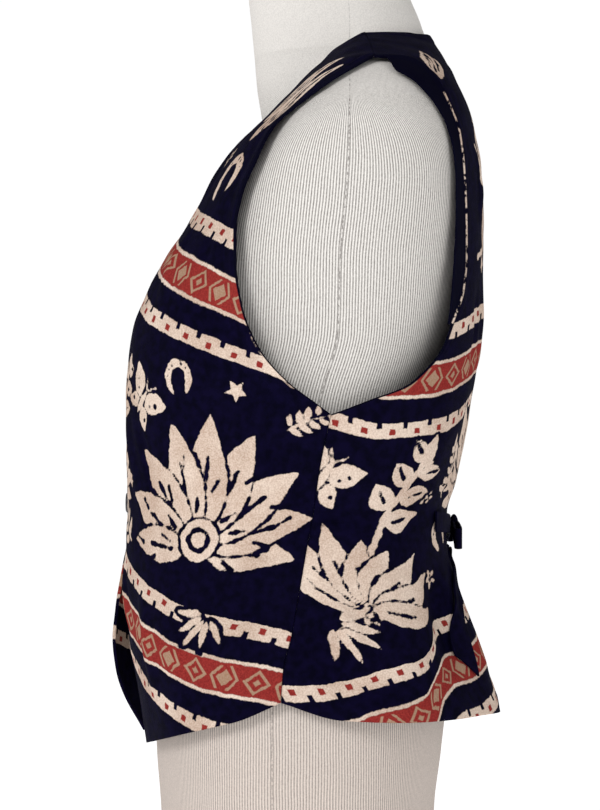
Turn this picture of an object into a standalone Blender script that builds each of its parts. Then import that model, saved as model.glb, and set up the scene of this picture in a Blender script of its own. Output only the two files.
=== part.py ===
"""Western vest on a limbless dress form.

Metres, +Z up. The wearer faces -Y, and the wearer's left is +X. The origin is the middle of the form's
flat base. Every piece is worked out from horizontal sections of the figure: an angle round the figure and a
height give a point on the cloth's outer face. Angle 0 is the left side, -90 the centre front and 90 the
centre back.
"""
import math

import bmesh
import bpy
import numpy as np

# Cloth
WALL = 0.002                # shell with its lining
SEAM_GAP = 0.0003           # between two pieces that are sewn together
FACING_WALL = 0.0015
TIE_WALL = 0.0014
TIE_GAP = 0.0011            # between the tie and the back, whose flats stand proud at the hollow waist
BUTTON_GAP = 0.0012         # between a button and the middle of the shallow valley that it bridges
LAP = 0.018                 # how far each front runs past the centre, above the last button
LAP_RAISE = WALL + 0.0008   # the right front lies this far over the left one
LAP_START = 0.052           # the right front starts to rise here, from the centre
LAP_FULL = 0.021            # and has its full rise from here on

# Grids
ROWS = 32                   # from the shoulder seam to the hem
ARMHOLE_ROWS = 19           # of these, the rows that end on the armhole
NECK_ROWS_FRONT = 16        # and the rows that start on the neckline
NECK_ROWS_BACK = 6
COLUMNS = 15                # from a centre line to the side
ROW_CROWDING = 1.3          # above 1, rows are closer at the shoulder
FACING_COLUMNS = 2
FACING_ROWS = 14            # of the armhole's rows, those that the facing runs along
FORM_COLUMNS = 40
HALVINGS = 48

# Buttons
BUTTON_HEIGHTS = (0.4440, 0.3995, 0.3550, 0.3105)
BUTTON_RADIUS = 0.0075
BUTTON_THICK = 0.0026
BUTTON_SIDES = 20
BUTTON_COLUMNS = ("width", "out")       # shares of the radius and of the thickness
BUTTON_PROFILE = (
    (0.75, 0.00),
    (1.00, 0.25),
    (1.00, 0.65),
    (0.82, 0.92),
    (0.45, 1.00),
)

# Back tie
TIE_WIDTH = 0.015
TIE_HEIGHT = 0.293
STRAP_OUTER_ANGLE = 46.0
STRAP_OUTER_RISE = 0.008
STRAP_TAPER = 0.25
STRAP_STEPS = 9
KNOT_SIZE = (0.0085, 0.0036, 0.0090)    # half sizes across, out and up
KNOT_RINGS = 8
KNOT_SIDES = 14
LOOP_REACH = 0.040
LOOP_STAND = 0.0066                     # the loop's middle, out from the back panel
LOOP_MOUTH = 0.0015                     # half the distance between its two layers at the knot
LOOP_TIP_RADIUS = 0.0022
LOOP_SAG = 0.007
LOOP_ROOT_WIDTH = 0.55                  # its width at the knot, as a share of the tie's
LOOP_STEPS = 5
LOOP_TIP_STEPS = 6
TAIL_WIDTH = 0.9 * TIE_WIDTH
TAIL_SLANT = 0.011                      # the tip's rise from one corner to the middle
TAIL_STEPS = 14
TAIL_COLUMNS = ("from_centre", "height")
TAIL_LEFT = (
    (0.0170, 0.2780),
    (0.0460, 0.2580),
    (0.0720, 0.2340),
    (0.0880, 0.2080),
    (0.0960, 0.1840),
)
TAIL_RIGHT = (
    (0.0160, 0.2780),
    (0.0340, 0.2540),
    (0.0460, 0.2250),
    (0.0500, 0.1960),
)

# Sections of the cloth's outer face
CLOTH_COLUMNS = ("height", "front", "back", "half_width", "squareness")
CLOTH_SECTIONS = (
    (0.1100, -0.1120, 0.1500, 0.1730, 2.4),
    (0.1380, -0.1140, 0.1500, 0.1720, 2.4),
    (0.1600, -0.1175, 0.1480, 0.1705, 2.4),
    (0.1900, -0.1225, 0.1385, 0.1665, 2.4),
    (0.2165, -0.1260, 0.1290, 0.1610, 2.5),
    (0.2500, -0.1265, 0.1175, 0.1535, 2.6),
    (0.2825, -0.1245, 0.1090, 0.1490, 2.7),
    (0.3050, -0.1238, 0.1090, 0.1485, 2.7),
    (0.3275, -0.1235, 0.1155, 0.1505, 2.7),
    (0.3725, -0.1220, 0.1245, 0.1570, 2.7),
    (0.4175, -0.1195, 0.1312, 0.1650, 2.7),
    (0.4400, -0.1165, 0.1335, 0.1700, 2.7),
    (0.4625, -0.1095, 0.1342, 0.1740, 2.7),
    (0.4850, -0.1000, 0.1348, 0.1770, 2.7),
    (0.5075, -0.0870, 0.1350, 0.1795, 2.7),
    (0.5300, -0.0745, 0.1350, 0.1810, 2.7),
    (0.5525, -0.0605, 0.1335, 0.1815, 2.7),
    (0.5750, -0.0445, 0.1305, 0.1800, 2.6),
    (0.5880, -0.0300, 0.1272, 0.1775, 2.6),
    (0.6000, -0.0180, 0.1235, 0.1735, 2.6),
    (0.6090, -0.0090, 0.1198, 0.1680, 2.6),
    (0.6170, -0.0020, 0.1165, 0.1600, 2.5),
    (0.6240, 0.0045, 0.1138, 0.1500, 2.4),
    (0.6300, 0.0100, 0.1115, 0.1350, 2.3),
    (0.6375, 0.0156, 0.1085, 0.1150, 2.2),
    (0.6440, 0.0235, 0.1058, 0.0980, 2.1),
    (0.6510, 0.0330, 0.1022, 0.0780, 2.0),
    (0.6600, 0.0400, 0.0970, 0.0640, 2.0),
)

# Line that the angles are measured round
AXIS_COLUMNS = ("height", "depth")
AXIS_LINE = (
    (0.0000, 0.000),
    (0.1600, 0.000),
    (0.3000, -0.004),
    (0.3900, 0.016),
    (0.4800, 0.028),
    (0.5600, 0.036),
    (0.6090, 0.047),
    (0.6240, 0.051),
    (0.6510, 0.047),
    (0.6900, 0.030),
    (0.7300, 0.018),
)

# Folds and the bust, as soft swellings of the sections. Angles are from the centre front, in degrees
FOLD_COLUMNS = ("side", "angle", "half_angle", "depth", "bottom", "top")
FOLDS = (
    ("both", 31.0, 34.0, 0.0095, 0.3050, 0.5350),
    ("both", 27.0, 31.0, 0.0050, 0.1700, 0.4400),
    ("right", 12.0, 34.0, 0.0160, 0.0500, 0.3100),
    ("both", 52.0, 20.0, 0.0030, 0.1100, 0.3300),
    ("both", 134.0, 9.0, -0.0100, 0.1750, 0.2850),
    ("both", 152.0, 13.0, 0.0050, 0.1100, 0.2750),
    ("both", 116.0, 15.0, 0.0050, 0.1100, 0.2850),
    ("both", 150.0, 14.0, -0.0035, 0.3000, 0.4200),
    ("both", 128.0, 12.0, 0.0030, 0.3000, 0.4000),
)

# Outlines of the panels
NECKLINE_COLUMNS = ("from_centre", "height")
NECKLINE = (
    (0.0780, 0.6510),
    (0.0765, 0.6300),
    (0.0720, 0.6090),
    (0.0640, 0.5880),
    (0.0460, 0.5520),
    (0.0240, 0.5080),
    (0.0000, 0.4660),
    (-LAP, 0.4500),
)
LEFT_EDGE = (
    (-LAP, 0.4500),
    (-LAP, 0.3200),
    (-0.0130, 0.2980),
    (0.0030, 0.2750),
    (0.0150, 0.2400),
    (0.0260, 0.2000),
    (0.0400, 0.1650),
    (0.0560, 0.1385),
)
RIGHT_EDGE = (
    (-LAP, 0.4500),
    (-LAP, 0.3220),
    (-0.0110, 0.3020),
    (0.0020, 0.2830),
    (0.0060, 0.2400),
    (0.0130, 0.2000),
    (0.0270, 0.1650),
    (0.0450, 0.1335),
)
SIDE_COLUMNS = ("depth", "height")
ARMHOLE_FRONT = (
    (0.0510, 0.6240),
    (0.0303, 0.6114),
    (0.0034, 0.5936),
    (-0.0147, 0.5749),
    (-0.0277, 0.5494),
    (-0.0362, 0.5294),
    (-0.0412, 0.5050),
    (-0.0418, 0.4810),
    (-0.0385, 0.4530),
    (-0.0263, 0.4220),
    (-0.0086, 0.4008),
    (0.0100, 0.3860),
    (0.0213, 0.3770),
)
ARMHOLE_BACK = (
    (0.0510, 0.6240),
    (0.0700, 0.6240),
    (0.0860, 0.6180),
    (0.0930, 0.6106),
    (0.1030, 0.5934),
    (0.1114, 0.5720),
    (0.1148, 0.5405),
    (0.1162, 0.5100),
    (0.1165, 0.4860),
    (0.1145, 0.4640),
    (0.1075, 0.4430),
    (0.0987, 0.4220),
    (0.0880, 0.4085),
    (0.0745, 0.3970),
    (0.0480, 0.3870),
    (0.0213, 0.3770),
)
FACING_EDGE = (
    (0.0480, 0.6170),
    (0.0600, 0.6135),
    (0.0743, 0.6067),
    (0.0840, 0.5985),
    (0.0930, 0.5890),
    (0.1011, 0.5760),
    (0.1060, 0.5600),
    (0.1080, 0.5400),
    (0.1080, 0.5150),
    (0.1068, 0.4900),
    (0.1057, 0.4680),
    (0.1048, 0.4530),
    (0.1035, 0.4400),
)
SIDE_SEAM = (
    (0.0213, 0.3770),
    (0.0140, 0.3418),
    (0.0095, 0.3110),
    (0.0041, 0.2813),
    (-0.0058, 0.2263),
    (-0.0117, 0.2009),
    (-0.0130, 0.1810),
)
BACK_NECK_COLUMNS = ("angle", "height")
BACK_NECK = (
    (0.0, 0.6510),
    (30.0, 0.6535),
    (60.0, 0.6570),
    (90.0, 0.6590),
)
BACK_HEM_HEIGHT = 0.1570

# Hems, as the drop under a straight line from the centre edge to the side seam
HEM_COLUMNS = ("share", "drop")
FRONT_HEM = (
    (0.0, 0.0000),
    (0.25, 0.0045),
    (0.5, 0.0065),
    (0.8, 0.0060),
    (1.0, 0.0000),
)
BACK_HEM = (
    (0.0, 0.0000),
    (0.3, 0.0015),
    (0.6, 0.0060),
    (0.85, 0.0085),
    (1.0, 0.0000),
)

# Sections of the dress form: its body, and its neck
FORM_SECTIONS = (
    (0.0000, -0.0960, 0.0930, 0.1500, 2.3),
    (0.0080, -0.1000, 0.0970, 0.1540, 2.3),
    (0.0900, -0.1035, 0.1000, 0.1590, 2.3),
    (0.1300, -0.1065, 0.1050, 0.1610, 2.3),
    (0.1750, -0.1080, 0.1090, 0.1600, 2.3),
    (0.2200, -0.1030, 0.1020, 0.1500, 2.3),
    (0.2850, -0.0920, 0.0840, 0.1300, 2.3),
    (0.3200, -0.0920, 0.0870, 0.1310, 2.3),
    (0.3700, -0.1040, 0.1020, 0.1420, 2.3),
    (0.4200, -0.1120, 0.1160, 0.1530, 2.3),
    (0.4600, -0.1060, 0.1245, 0.1640, 2.4),
    (0.4900, -0.0915, 0.1280, 0.1710, 2.5),
    (0.5300, -0.0690, 0.1300, 0.1755, 2.6),
    (0.5550, -0.0545, 0.1290, 0.1770, 2.6),
    (0.5800, -0.0340, 0.1250, 0.1750, 2.6),
    (0.5940, -0.0180, 0.1212, 0.1710, 2.6),
    (0.6030, -0.0080, 0.1180, 0.1665, 2.5),
    (0.6110, -0.0010, 0.1148, 0.1590, 2.5),
    (0.6185, 0.0060, 0.1117, 0.1490, 2.4),
    (0.6255, 0.0120, 0.1090, 0.1345, 2.3),
    (0.6338, 0.0190, 0.1058, 0.1150, 2.2),
    (0.6406, 0.0270, 0.1025, 0.0984, 2.1),
    (0.6480, 0.0360, 0.0990, 0.0785, 2.0),
    (0.6560, 0.0400, 0.0900, 0.0500, 2.0),
    (0.6640, 0.0410, 0.0600, 0.0200, 2.0),
)
NECK_SECTIONS = (
    (0.5500, -0.0200, 0.1000, 0.0660, 2.0),
    (0.5980, -0.0280, 0.1000, 0.0640, 2.0),
    (0.6200, -0.0318, 0.0985, 0.0625, 2.0),
    (0.6425, -0.0338, 0.0960, 0.0610, 2.0),
    (0.6650, -0.0360, 0.0915, 0.0590, 2.0),
    (0.6875, -0.0385, 0.0825, 0.0575, 2.0),
    (0.7140, -0.0410, 0.0720, 0.0560, 2.0),
    (0.7190, -0.0390, 0.0700, 0.0540, 2.0),
    (0.7220, -0.0340, 0.0660, 0.0500, 2.0),
)
NECK_FROM = 0.5600
BODY_TO = 0.6640
FORM_BLEND = 0.0060
FORM_RING_COLUMNS = ("from_height", "step", "rings")
FORM_RINGS = (
    (0.0000, 0.0040, 2),
    (0.0120, 0.0230, 1),
    (0.0350, 0.0245, 23),
    (0.5815, 0.0068, 13),
    (0.6725, 0.0175, 2),
    (0.7060, 0.0090, 2),
    (0.7195, 0.0025, 2),
)

# Finishes
FINISH_COLUMNS = ("name", "colour", "roughness")
FINISHES = (
    ("printed_cotton", (0.012, 0.009, 0.030, 1.0), 0.85),
    ("lining", (0.008, 0.008, 0.022, 1.0), 0.70),
    ("button", (0.012, 0.009, 0.030, 1.0), 0.45),
    ("form_jersey", (0.680, 0.650, 0.610, 1.0), 0.90),
)


class Curve:
    """Smooth columns over a rising first column, without overshoot."""

    def __init__(self, rows):
        table = np.array(sorted(rows), dtype=float)
        self.at = table[:, 0]
        self.values = table[:, 1:]
        steps = np.diff(self.at)
        rises = np.diff(self.values, axis=0) / steps[:, None]
        slopes = np.zeros_like(self.values)
        slopes[0] = rises[0]
        slopes[-1] = rises[-1]
        for k in range(1, len(self.at) - 1):
            before = 2 * steps[k] + steps[k - 1]
            after = steps[k] + 2 * steps[k - 1]
            same = rises[k - 1] * rises[k] > 0
            safe_before = np.where(same, rises[k - 1], 1.0)
            safe_after = np.where(same, rises[k], 1.0)
            mean = (before + after) / (before / safe_before + after / safe_after)
            slopes[k] = np.where(same, mean, 0.0)
        self.slopes = slopes

    def __call__(self, where):
        where = min(max(where, self.at[0]), self.at[-1])
        k = int(np.clip(np.searchsorted(self.at, where) - 1, 0, len(self.at) - 2))
        step = self.at[k + 1] - self.at[k]
        t = (where - self.at[k]) / step
        return (
            (2 * t**3 - 3 * t**2 + 1) * self.values[k]
            + (t**3 - 2 * t**2 + t) * step * self.slopes[k]
            + (-2 * t**3 + 3 * t**2) * self.values[k + 1]
            + (t**3 - t**2) * step * self.slopes[k + 1]
        )


CLOTH = Curve(CLOTH_SECTIONS)
AXIS = Curve(AXIS_LINE)
FORM = Curve(FORM_SECTIONS)
NECK = Curve(NECK_SECTIONS)


def axis_depth(height):
    return float(AXIS(height)[0])


def section_radius(section, angle, centre):
    """Distance from the axis to a section of front, back, half width and squareness, at an angle."""
    front, back, half_width, squareness = section
    across = math.cos(angle)
    along = math.sin(angle)
    depth = back - centre if along > 0 else centre - front
    total = (abs(across) / half_width) ** squareness + (abs(along) / depth) ** squareness
    return total ** (-1.0 / squareness)


def bell(share):
    """1 in the middle, 0 with a level end at -1 and 1."""
    return 0.5 + 0.5 * math.cos(math.pi * share) if abs(share) < 1 else 0.0


def smooth_step(low, high, value):
    t = min(max((value - low) / (high - low), 0.0), 1.0)
    return t * t * (3 - 2 * t)


def fold_depth(angle, height):
    """Sum of the folds at a place on the cloth."""
    degrees = math.degrees(angle) + 90.0
    if degrees > 180.0:
        degrees -= 360.0
    side = "left" if degrees >= 0 else "right"
    total = 0.0
    for fold_side, place, half_angle, depth, bottom, top in FOLDS:
        if fold_side not in ("both", side):
            continue
        middle = (bottom + top) / 2
        upright = bell((height - middle) / ((top - bottom) / 2))
        total += depth * upright * bell((abs(degrees) - place) / half_angle)
    return total


def cloth_at(angle, height):
    """A point on the cloth's outer face."""
    centre = axis_depth(height)
    radius = section_radius(CLOTH(height), angle, centre) + fold_depth(angle, height)
    return np.array((radius * math.cos(angle), centre + radius * math.sin(angle), height))


def outward(angle, height):
    """The outer face's normal."""
    turn = 0.004
    rise = 0.0006
    around = cloth_at(angle + turn, height) - cloth_at(angle - turn, height)
    upward = cloth_at(angle, height + rise) - cloth_at(angle, height - rise)
    normal = np.cross(around, upward)
    return normal / np.linalg.norm(normal)


def cloth_offset(angle, height, offset):
    return cloth_at(angle, height) + offset * outward(angle, height)


def solve(function, low, high, wanted):
    """Where a rising function reaches a value, by halving."""
    for _ in range(HALVINGS):
        middle = (low + high) / 2
        if function(middle) < wanted:
            low = middle
        else:
            high = middle
    return (low + high) / 2


def angle_at_depth(depth, height):
    """The left side's angle where the cloth has this depth (Y)."""
    return solve(lambda a: cloth_at(a, height)[1], -math.pi / 2, math.pi / 2, depth)


def angle_at_width(width, height):
    """The front's angle where the cloth has this X."""
    return solve(lambda a: cloth_at(a, height)[0], -math.pi * 0.99, 0.0, width)


def spaced(points, count, crowding=1.0):
    """Points along a smooth curve through a table, count + 1 of them."""
    points = np.array(points, dtype=float)
    lengths = np.concatenate(([0.0], np.cumsum(np.linalg.norm(np.diff(points, axis=0), axis=1))))
    curve = Curve([(length, *point) for length, point in zip(lengths, points)])
    return [curve(lengths[-1] * (k / count) ** crowding) for k in range(count + 1)]


def outer_edge(armhole, turn):
    """Angles and heights down an armhole and the side seam. turn moves the edge off the seam line."""
    edge = []
    for depth, height in spaced(armhole, ARMHOLE_ROWS, ROW_CROWDING)[:-1]:
        edge.append((angle_at_depth(depth, height), height))
    for depth, height in spaced(SIDE_SEAM, ROWS - ARMHOLE_ROWS):
        edge.append((angle_at_depth(depth, height), height))
    moved = []
    for angle, height in edge:
        point = cloth_at(angle, height)
        moved.append((angle + turn / math.hypot(point[0], point[1] - axis_depth(height)), height))
    return moved


def front_inner_edge(lower_edge, turn):
    """Angles and heights down the neckline and a front's edge, on the left side."""
    edge = []
    for width, height in spaced(NECKLINE, NECK_ROWS_FRONT, ROW_CROWDING)[:-1]:
        edge.append((angle_at_width(width, height), height))
    edge[0] = (turn / NECKLINE[0][0], NECKLINE[0][1])
    for width, height in spaced(lower_edge, ROWS - NECK_ROWS_FRONT):
        edge.append((angle_at_width(width, height), height))
    return edge


def back_inner_edge(turn):
    """Angles and heights round the back neck and down the centre back."""
    neck = Curve(BACK_NECK)
    edge = []
    for k in range(NECK_ROWS_BACK + 1):
        degrees = 90.0 * k / NECK_ROWS_BACK
        edge.append((math.radians(degrees), float(neck(degrees)[0])))
    edge[0] = (turn / NECKLINE[0][0], NECKLINE[0][1])
    top = edge[-1][1]
    down = ROWS - NECK_ROWS_BACK
    for k in range(1, down + 1):
        edge.append((math.pi / 2, top + (BACK_HEM_HEIGHT - top) * k / down))
    return edge


def panel_places(inner, outer, hem, hem_from):
    """Grid of angles and heights between two edges, with the hem's curve let in over the lower rows."""
    hem_curve = Curve(hem)
    places = []
    for row in range(ROWS + 1):
        let_in = smooth_step(hem_from, ROWS, row)
        line = []
        for column in range(COLUMNS + 1):
            share = column / COLUMNS
            angle = inner[row][0] + (outer[row][0] - inner[row][0]) * share
            height = inner[row][1] + (outer[row][1] - inner[row][1]) * share
            line.append((angle, height - let_in * float(hem_curve(share)[0])))
        places.append(line)
    return places


def lap_rise(point):
    """How far the right front stands over the left one."""
    return LAP_RAISE * smooth_step(-LAP_START, -LAP_FULL, point[0])


def mirrored(point):
    return np.array((-point[0], point[1], point[2]))


def material(name, colour, roughness):
    made = bpy.data.materials.new(name)
    made.use_nodes = True
    shader = made.node_tree.nodes["Principled BSDF"]
    shader.inputs["Base Color"].default_value = colour
    shader.inputs["Roughness"].default_value = roughness
    shader.inputs["Metallic"].default_value = 0.0
    return made


def add_object(name, corners, faces, finish, smooth_under=50.0):
    mesh = bpy.data.meshes.new(name)
    mesh.from_pydata([tuple(corner) for corner in corners], [], faces)
    shape = bmesh.new()
    shape.from_mesh(mesh)
    bmesh.ops.recalc_face_normals(shape, faces=shape.faces)
    shape.to_mesh(mesh)
    shape.free()
    mesh.shade_smooth()
    mesh.set_sharp_from_angle(angle=math.radians(smooth_under))
    mesh.materials.append(finish)
    made = bpy.data.objects.new(name, mesh)
    bpy.context.scene.collection.objects.link(made)
    return made


def add_shell(name, outer, inner, squares, finish):
    """A closed wall from squares of outer points and the inner points under them. Open edges get a rim."""
    below = len(outer)
    faces = []
    borders = {}
    for square in squares:
        faces.append(tuple(square))
        faces.append(tuple(below + corner for corner in reversed(square)))
        for here, there in zip(square, square[1:] + square[:1]):
            if (there, here) in borders:
                del borders[(there, here)]
            else:
                borders[(here, there)] = True
    for here, there in borders:
        faces.append((there, here, below + here, below + there))
    return add_object(name, list(outer) + list(inner), faces, finish)


def grid_squares(rows, columns, number):
    """Squares of a grid, with the corners' numbers from a function of row and column."""
    squares = []
    for row in range(rows - 1):
        for column in range(columns - 1):
            squares.append((
                number(row, column),
                number(row, column + 1),
                number(row + 1, column + 1),
                number(row + 1, column),
            ))
    return squares


def add_wall(name, outer, inner, finish):
    """A closed wall between two grids of points."""
    columns = len(outer[0])
    squares = grid_squares(len(outer), columns, lambda row, column: row * columns + column)
    out_points = [point for line in outer for point in line]
    in_points = [point for line in inner for point in line]
    return add_shell(name, out_points, in_points, squares, finish)


def front_panel(name, lower_edge, on_right, finish):
    half_gap = SEAM_GAP / 2
    outer = outer_edge(ARMHOLE_FRONT, -half_gap)
    inner = front_inner_edge(lower_edge, -half_gap)
    places = panel_places(inner, outer, FRONT_HEM, NECK_ROWS_FRONT)
    faces_out = []
    faces_in = []
    for line in places:
        out_line = []
        in_line = []
        for angle, height in line:
            if on_right:
                angle = -math.pi - angle
            normal = outward(angle, height)
            point = cloth_at(angle, height)
            if on_right:
                point = point + lap_rise(point) * normal
            out_line.append(point)
            in_line.append(point - WALL * normal)
        faces_out.append(out_line)
        faces_in.append(in_line)
    return add_wall(name, faces_out, faces_in, finish)


def back_panel(name, finish):
    """Both halves of the back in one piece, joined down the centre under the neck edge."""
    half_gap = SEAM_GAP / 2
    outer = outer_edge(ARMHOLE_BACK, half_gap)
    inner = back_inner_edge(half_gap)
    places = panel_places(inner, outer, BACK_HEM, NECK_ROWS_BACK)
    columns = COLUMNS + 1
    left_points = [cloth_at(angle, height) for line in places for angle, height in line]
    left_inside = [cloth_offset(angle, height, -WALL) for line in places for angle, height in line]
    out_points = left_points + [mirrored(point) for point in left_points]
    in_points = left_inside + [mirrored(point) for point in left_inside]

    def on_left(row, column):
        return row * columns + column

    def on_right(row, column):
        if column == 0 and row >= NECK_ROWS_BACK:
            return on_left(row, column)
        return len(left_points) + row * columns + column

    squares = grid_squares(ROWS + 1, columns, on_left)
    squares += [tuple(reversed(square)) for square in grid_squares(ROWS + 1, columns, on_right)]
    used = sorted({corner for square in squares for corner in square})
    renumber = {old: new for new, old in enumerate(used)}
    squares = [tuple(renumber[corner] for corner in square) for square in squares]
    out_used = [out_points[old] for old in used]
    in_used = [in_points[old] for old in used]
    return add_shell(name, out_used, in_used, squares, finish)


def strip_wall(name, places, lift, thickness, on_right, finish):
    """A wall on the cloth's surface, from a grid of angles and heights."""
    faces_out = []
    faces_in = []
    for line in places:
        out_line = [cloth_offset(angle, height, lift + thickness) for angle, height in line]
        in_line = [cloth_offset(angle, height, lift) for angle, height in line]
        if on_right:
            out_line = [mirrored(point) for point in out_line]
            in_line = [mirrored(point) for point in in_line]
        faces_out.append(out_line)
        faces_in.append(in_line)
    return add_wall(name, faces_out, faces_in, finish)


def armhole_facing(name, on_right, finish):
    """The lining's band that shows inside the back of an armhole."""
    armhole = spaced(ARMHOLE_BACK, ARMHOLE_ROWS, ROW_CROWDING)[1:FACING_ROWS + 1]
    inside = spaced(FACING_EDGE, FACING_ROWS - 1, ROW_CROWDING)
    places = []
    for (outer_depth, outer_height), (inner_depth, inner_height) in zip(armhole, inside):
        outer_angle = angle_at_depth(outer_depth, outer_height)
        inner_angle = angle_at_depth(inner_depth, inner_height)
        start = cloth_at(outer_angle, outer_height)
        width = np.linalg.norm(cloth_at(inner_angle, inner_height) - start)
        line = []
        for column in range(FACING_COLUMNS + 1):
            share = SEAM_GAP * 2 / width + (1 - SEAM_GAP * 2 / width) * column / FACING_COLUMNS
            angle = outer_angle + (inner_angle - outer_angle) * share
            line.append((angle, outer_height + (inner_height - outer_height) * share))
        places.append(line)
    return strip_wall(name, places, -WALL, FACING_WALL, on_right, finish)


def button(name, height, finish):
    """A plain domed button on the right front's edge."""
    angle = -math.pi / 2
    normal = outward(angle, height)
    seat = cloth_at(angle, height) + (LAP_RAISE + BUTTON_GAP) * normal
    sideways = np.array((1.0, 0.0, 0.0))
    upward = np.cross(normal, sideways)
    corners = []
    for width, out in BUTTON_PROFILE:
        for side in range(BUTTON_SIDES):
            turn = 2 * math.pi * side / BUTTON_SIDES
            arm = BUTTON_RADIUS * width * (math.cos(turn) * sideways + math.sin(turn) * upward)
            corners.append(seat + arm + BUTTON_THICK * out * normal)
    faces = [tuple(range(BUTTON_SIDES))]
    for ring in range(len(BUTTON_PROFILE) - 1):
        for side in range(BUTTON_SIDES):
            a = ring * BUTTON_SIDES + side
            b = ring * BUTTON_SIDES + (side + 1) % BUTTON_SIDES
            faces.append((a, b, b + BUTTON_SIDES, a + BUTTON_SIDES))
    top = (len(BUTTON_PROFILE) - 1) * BUTTON_SIDES
    faces.append(tuple(top + side for side in range(BUTTON_SIDES)))
    return add_object(name, corners, faces, finish)


def tie_strap(name, on_right, finish):
    """A ribbon from the back dart to the knot, lying on the back panel."""
    places = []
    knot_turn = SEAM_GAP / (cloth_at(math.pi / 2, TIE_HEIGHT)[1] - axis_depth(TIE_HEIGHT))
    start = math.radians(STRAP_OUTER_ANGLE)
    end = math.pi / 2 - knot_turn
    for step in range(STRAP_STEPS + 1):
        share = step / STRAP_STEPS
        angle = start + (end - start) * share
        height = TIE_HEIGHT + STRAP_OUTER_RISE * (1 - share)
        half = TIE_WIDTH / 2 * (1 - STRAP_TAPER * share)
        places.append([(angle, height - half), (angle, height), (angle, height + half)])
    return strip_wall(name, places, TIE_GAP, TIE_WALL, on_right, finish)


def tie_knot(name, finish):
    """A small rounded knot at the centre back."""
    angle = math.pi / 2
    normal = outward(angle, TIE_HEIGHT)
    across, out, up = KNOT_SIZE
    middle = cloth_at(angle, TIE_HEIGHT) + (out + TIE_GAP + TIE_WALL + SEAM_GAP) * normal
    corners = [middle + np.array((0.0, 0.0, up))]
    for ring in range(1, KNOT_RINGS):
        tilt = math.pi * ring / KNOT_RINGS
        for side in range(KNOT_SIDES):
            turn = 2 * math.pi * side / KNOT_SIDES
            corners.append(middle + np.array((
                across * math.sin(tilt) * math.cos(turn),
                out * math.sin(tilt) * math.sin(turn),
                up * math.cos(tilt),
            )))
    corners.append(middle - np.array((0.0, 0.0, up)))
    faces = []
    last = len(corners) - 1
    for side in range(KNOT_SIDES):
        beside = (side + 1) % KNOT_SIDES
        faces.append((0, 1 + side, 1 + beside))
        for ring in range(KNOT_RINGS - 2):
            a = 1 + ring * KNOT_SIDES
            b = a + KNOT_SIDES
            faces.append((a + side, b + side, b + beside, a + beside))
        faces.append((last, last - KNOT_SIDES + beside, last - KNOT_SIDES + side))
    return add_object(name, corners, faces, finish)


def loop_line():
    """The middle of the loop's ribbon, seen from above: out from the knot, round the tip and back."""
    tip_middle = LOOP_REACH - LOOP_TIP_RADIUS
    arm = []
    for step in range(LOOP_STEPS + 1):
        share = step / LOOP_STEPS
        arm.append((tip_middle * share, LOOP_MOUTH + (LOOP_TIP_RADIUS - LOOP_MOUTH) * share))
    tip = []
    for step in range(1, LOOP_TIP_STEPS):
        turn = math.pi * step / LOOP_TIP_STEPS
        tip.append((tip_middle + LOOP_TIP_RADIUS * math.sin(turn), LOOP_TIP_RADIUS * math.cos(turn)))
    return arm + tip + [(across, -out) for across, out in reversed(arm)]


def tie_loop(name, on_right, finish):
    """One loop of the bow: a ribbon that runs out from the knot and back."""
    start = cloth_at(math.pi / 2, TIE_HEIGHT) + np.array((KNOT_SIZE[0] + SEAM_GAP, LOOP_STAND, 0.0))
    line = loop_line()
    faces_out = []
    faces_in = []
    for step, (across, out) in enumerate(line):
        before = line[max(step - 1, 0)]
        after = line[min(step + 1, len(line) - 1)]
        sideways = np.array((after[1] - before[1], before[0] - after[0], 0.0))
        sideways = TIE_WALL / 2 * sideways / np.linalg.norm(sideways)
        share = across / LOOP_REACH
        middle = start + np.array((across, out, -LOOP_SAG * share**1.5))
        half = TIE_WIDTH / 2 * (LOOP_ROOT_WIDTH + (1 - LOOP_ROOT_WIDTH) * share)
        rungs = [np.array((0.0, 0.0, height)) for height in (-half, 0.0, half)]
        faces_out.append([middle - sideways + rung for rung in rungs])
        faces_in.append([middle + sideways + rung for rung in rungs])
    if on_right:
        faces_out = [[mirrored(point) for point in line] for line in faces_out]
        faces_in = [[mirrored(point) for point in line] for line in faces_in]
    return add_wall(name, faces_out, faces_in, finish)


def tie_tail(name, route, on_right, finish):
    """A free end of the tie, lying on the back's skirt with a slanted tip."""
    places = []
    for step, (across, height) in enumerate(spaced(route, TAIL_STEPS)):
        slant = TAIL_SLANT * smooth_step(0.75, 1.0, step / TAIL_STEPS)
        line = []
        for side in (-1, 0, 1):
            tip = slant * side
            wanted = -(across + side * TAIL_WIDTH / 2)
            angle = solve(lambda a: -cloth_at(a, height)[0], 0.0, math.pi / 2, wanted)
            line.append((angle, height + tip))
        places.append(line)
    return strip_wall(name, places, TIE_GAP, TIE_WALL, on_right, finish)


def form_radius(angle, height):
    """The dress form's body and neck, run into each other."""
    centre = axis_depth(height)
    body = section_radius(FORM(height), angle, centre) if height < BODY_TO else 0.0
    neck = section_radius(NECK(height), angle, centre) if height > NECK_FROM else 0.0
    if body and neck:
        return (body + neck + math.sqrt((body - neck) ** 2 + FORM_BLEND**2)) / 2
    return body or neck


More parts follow.
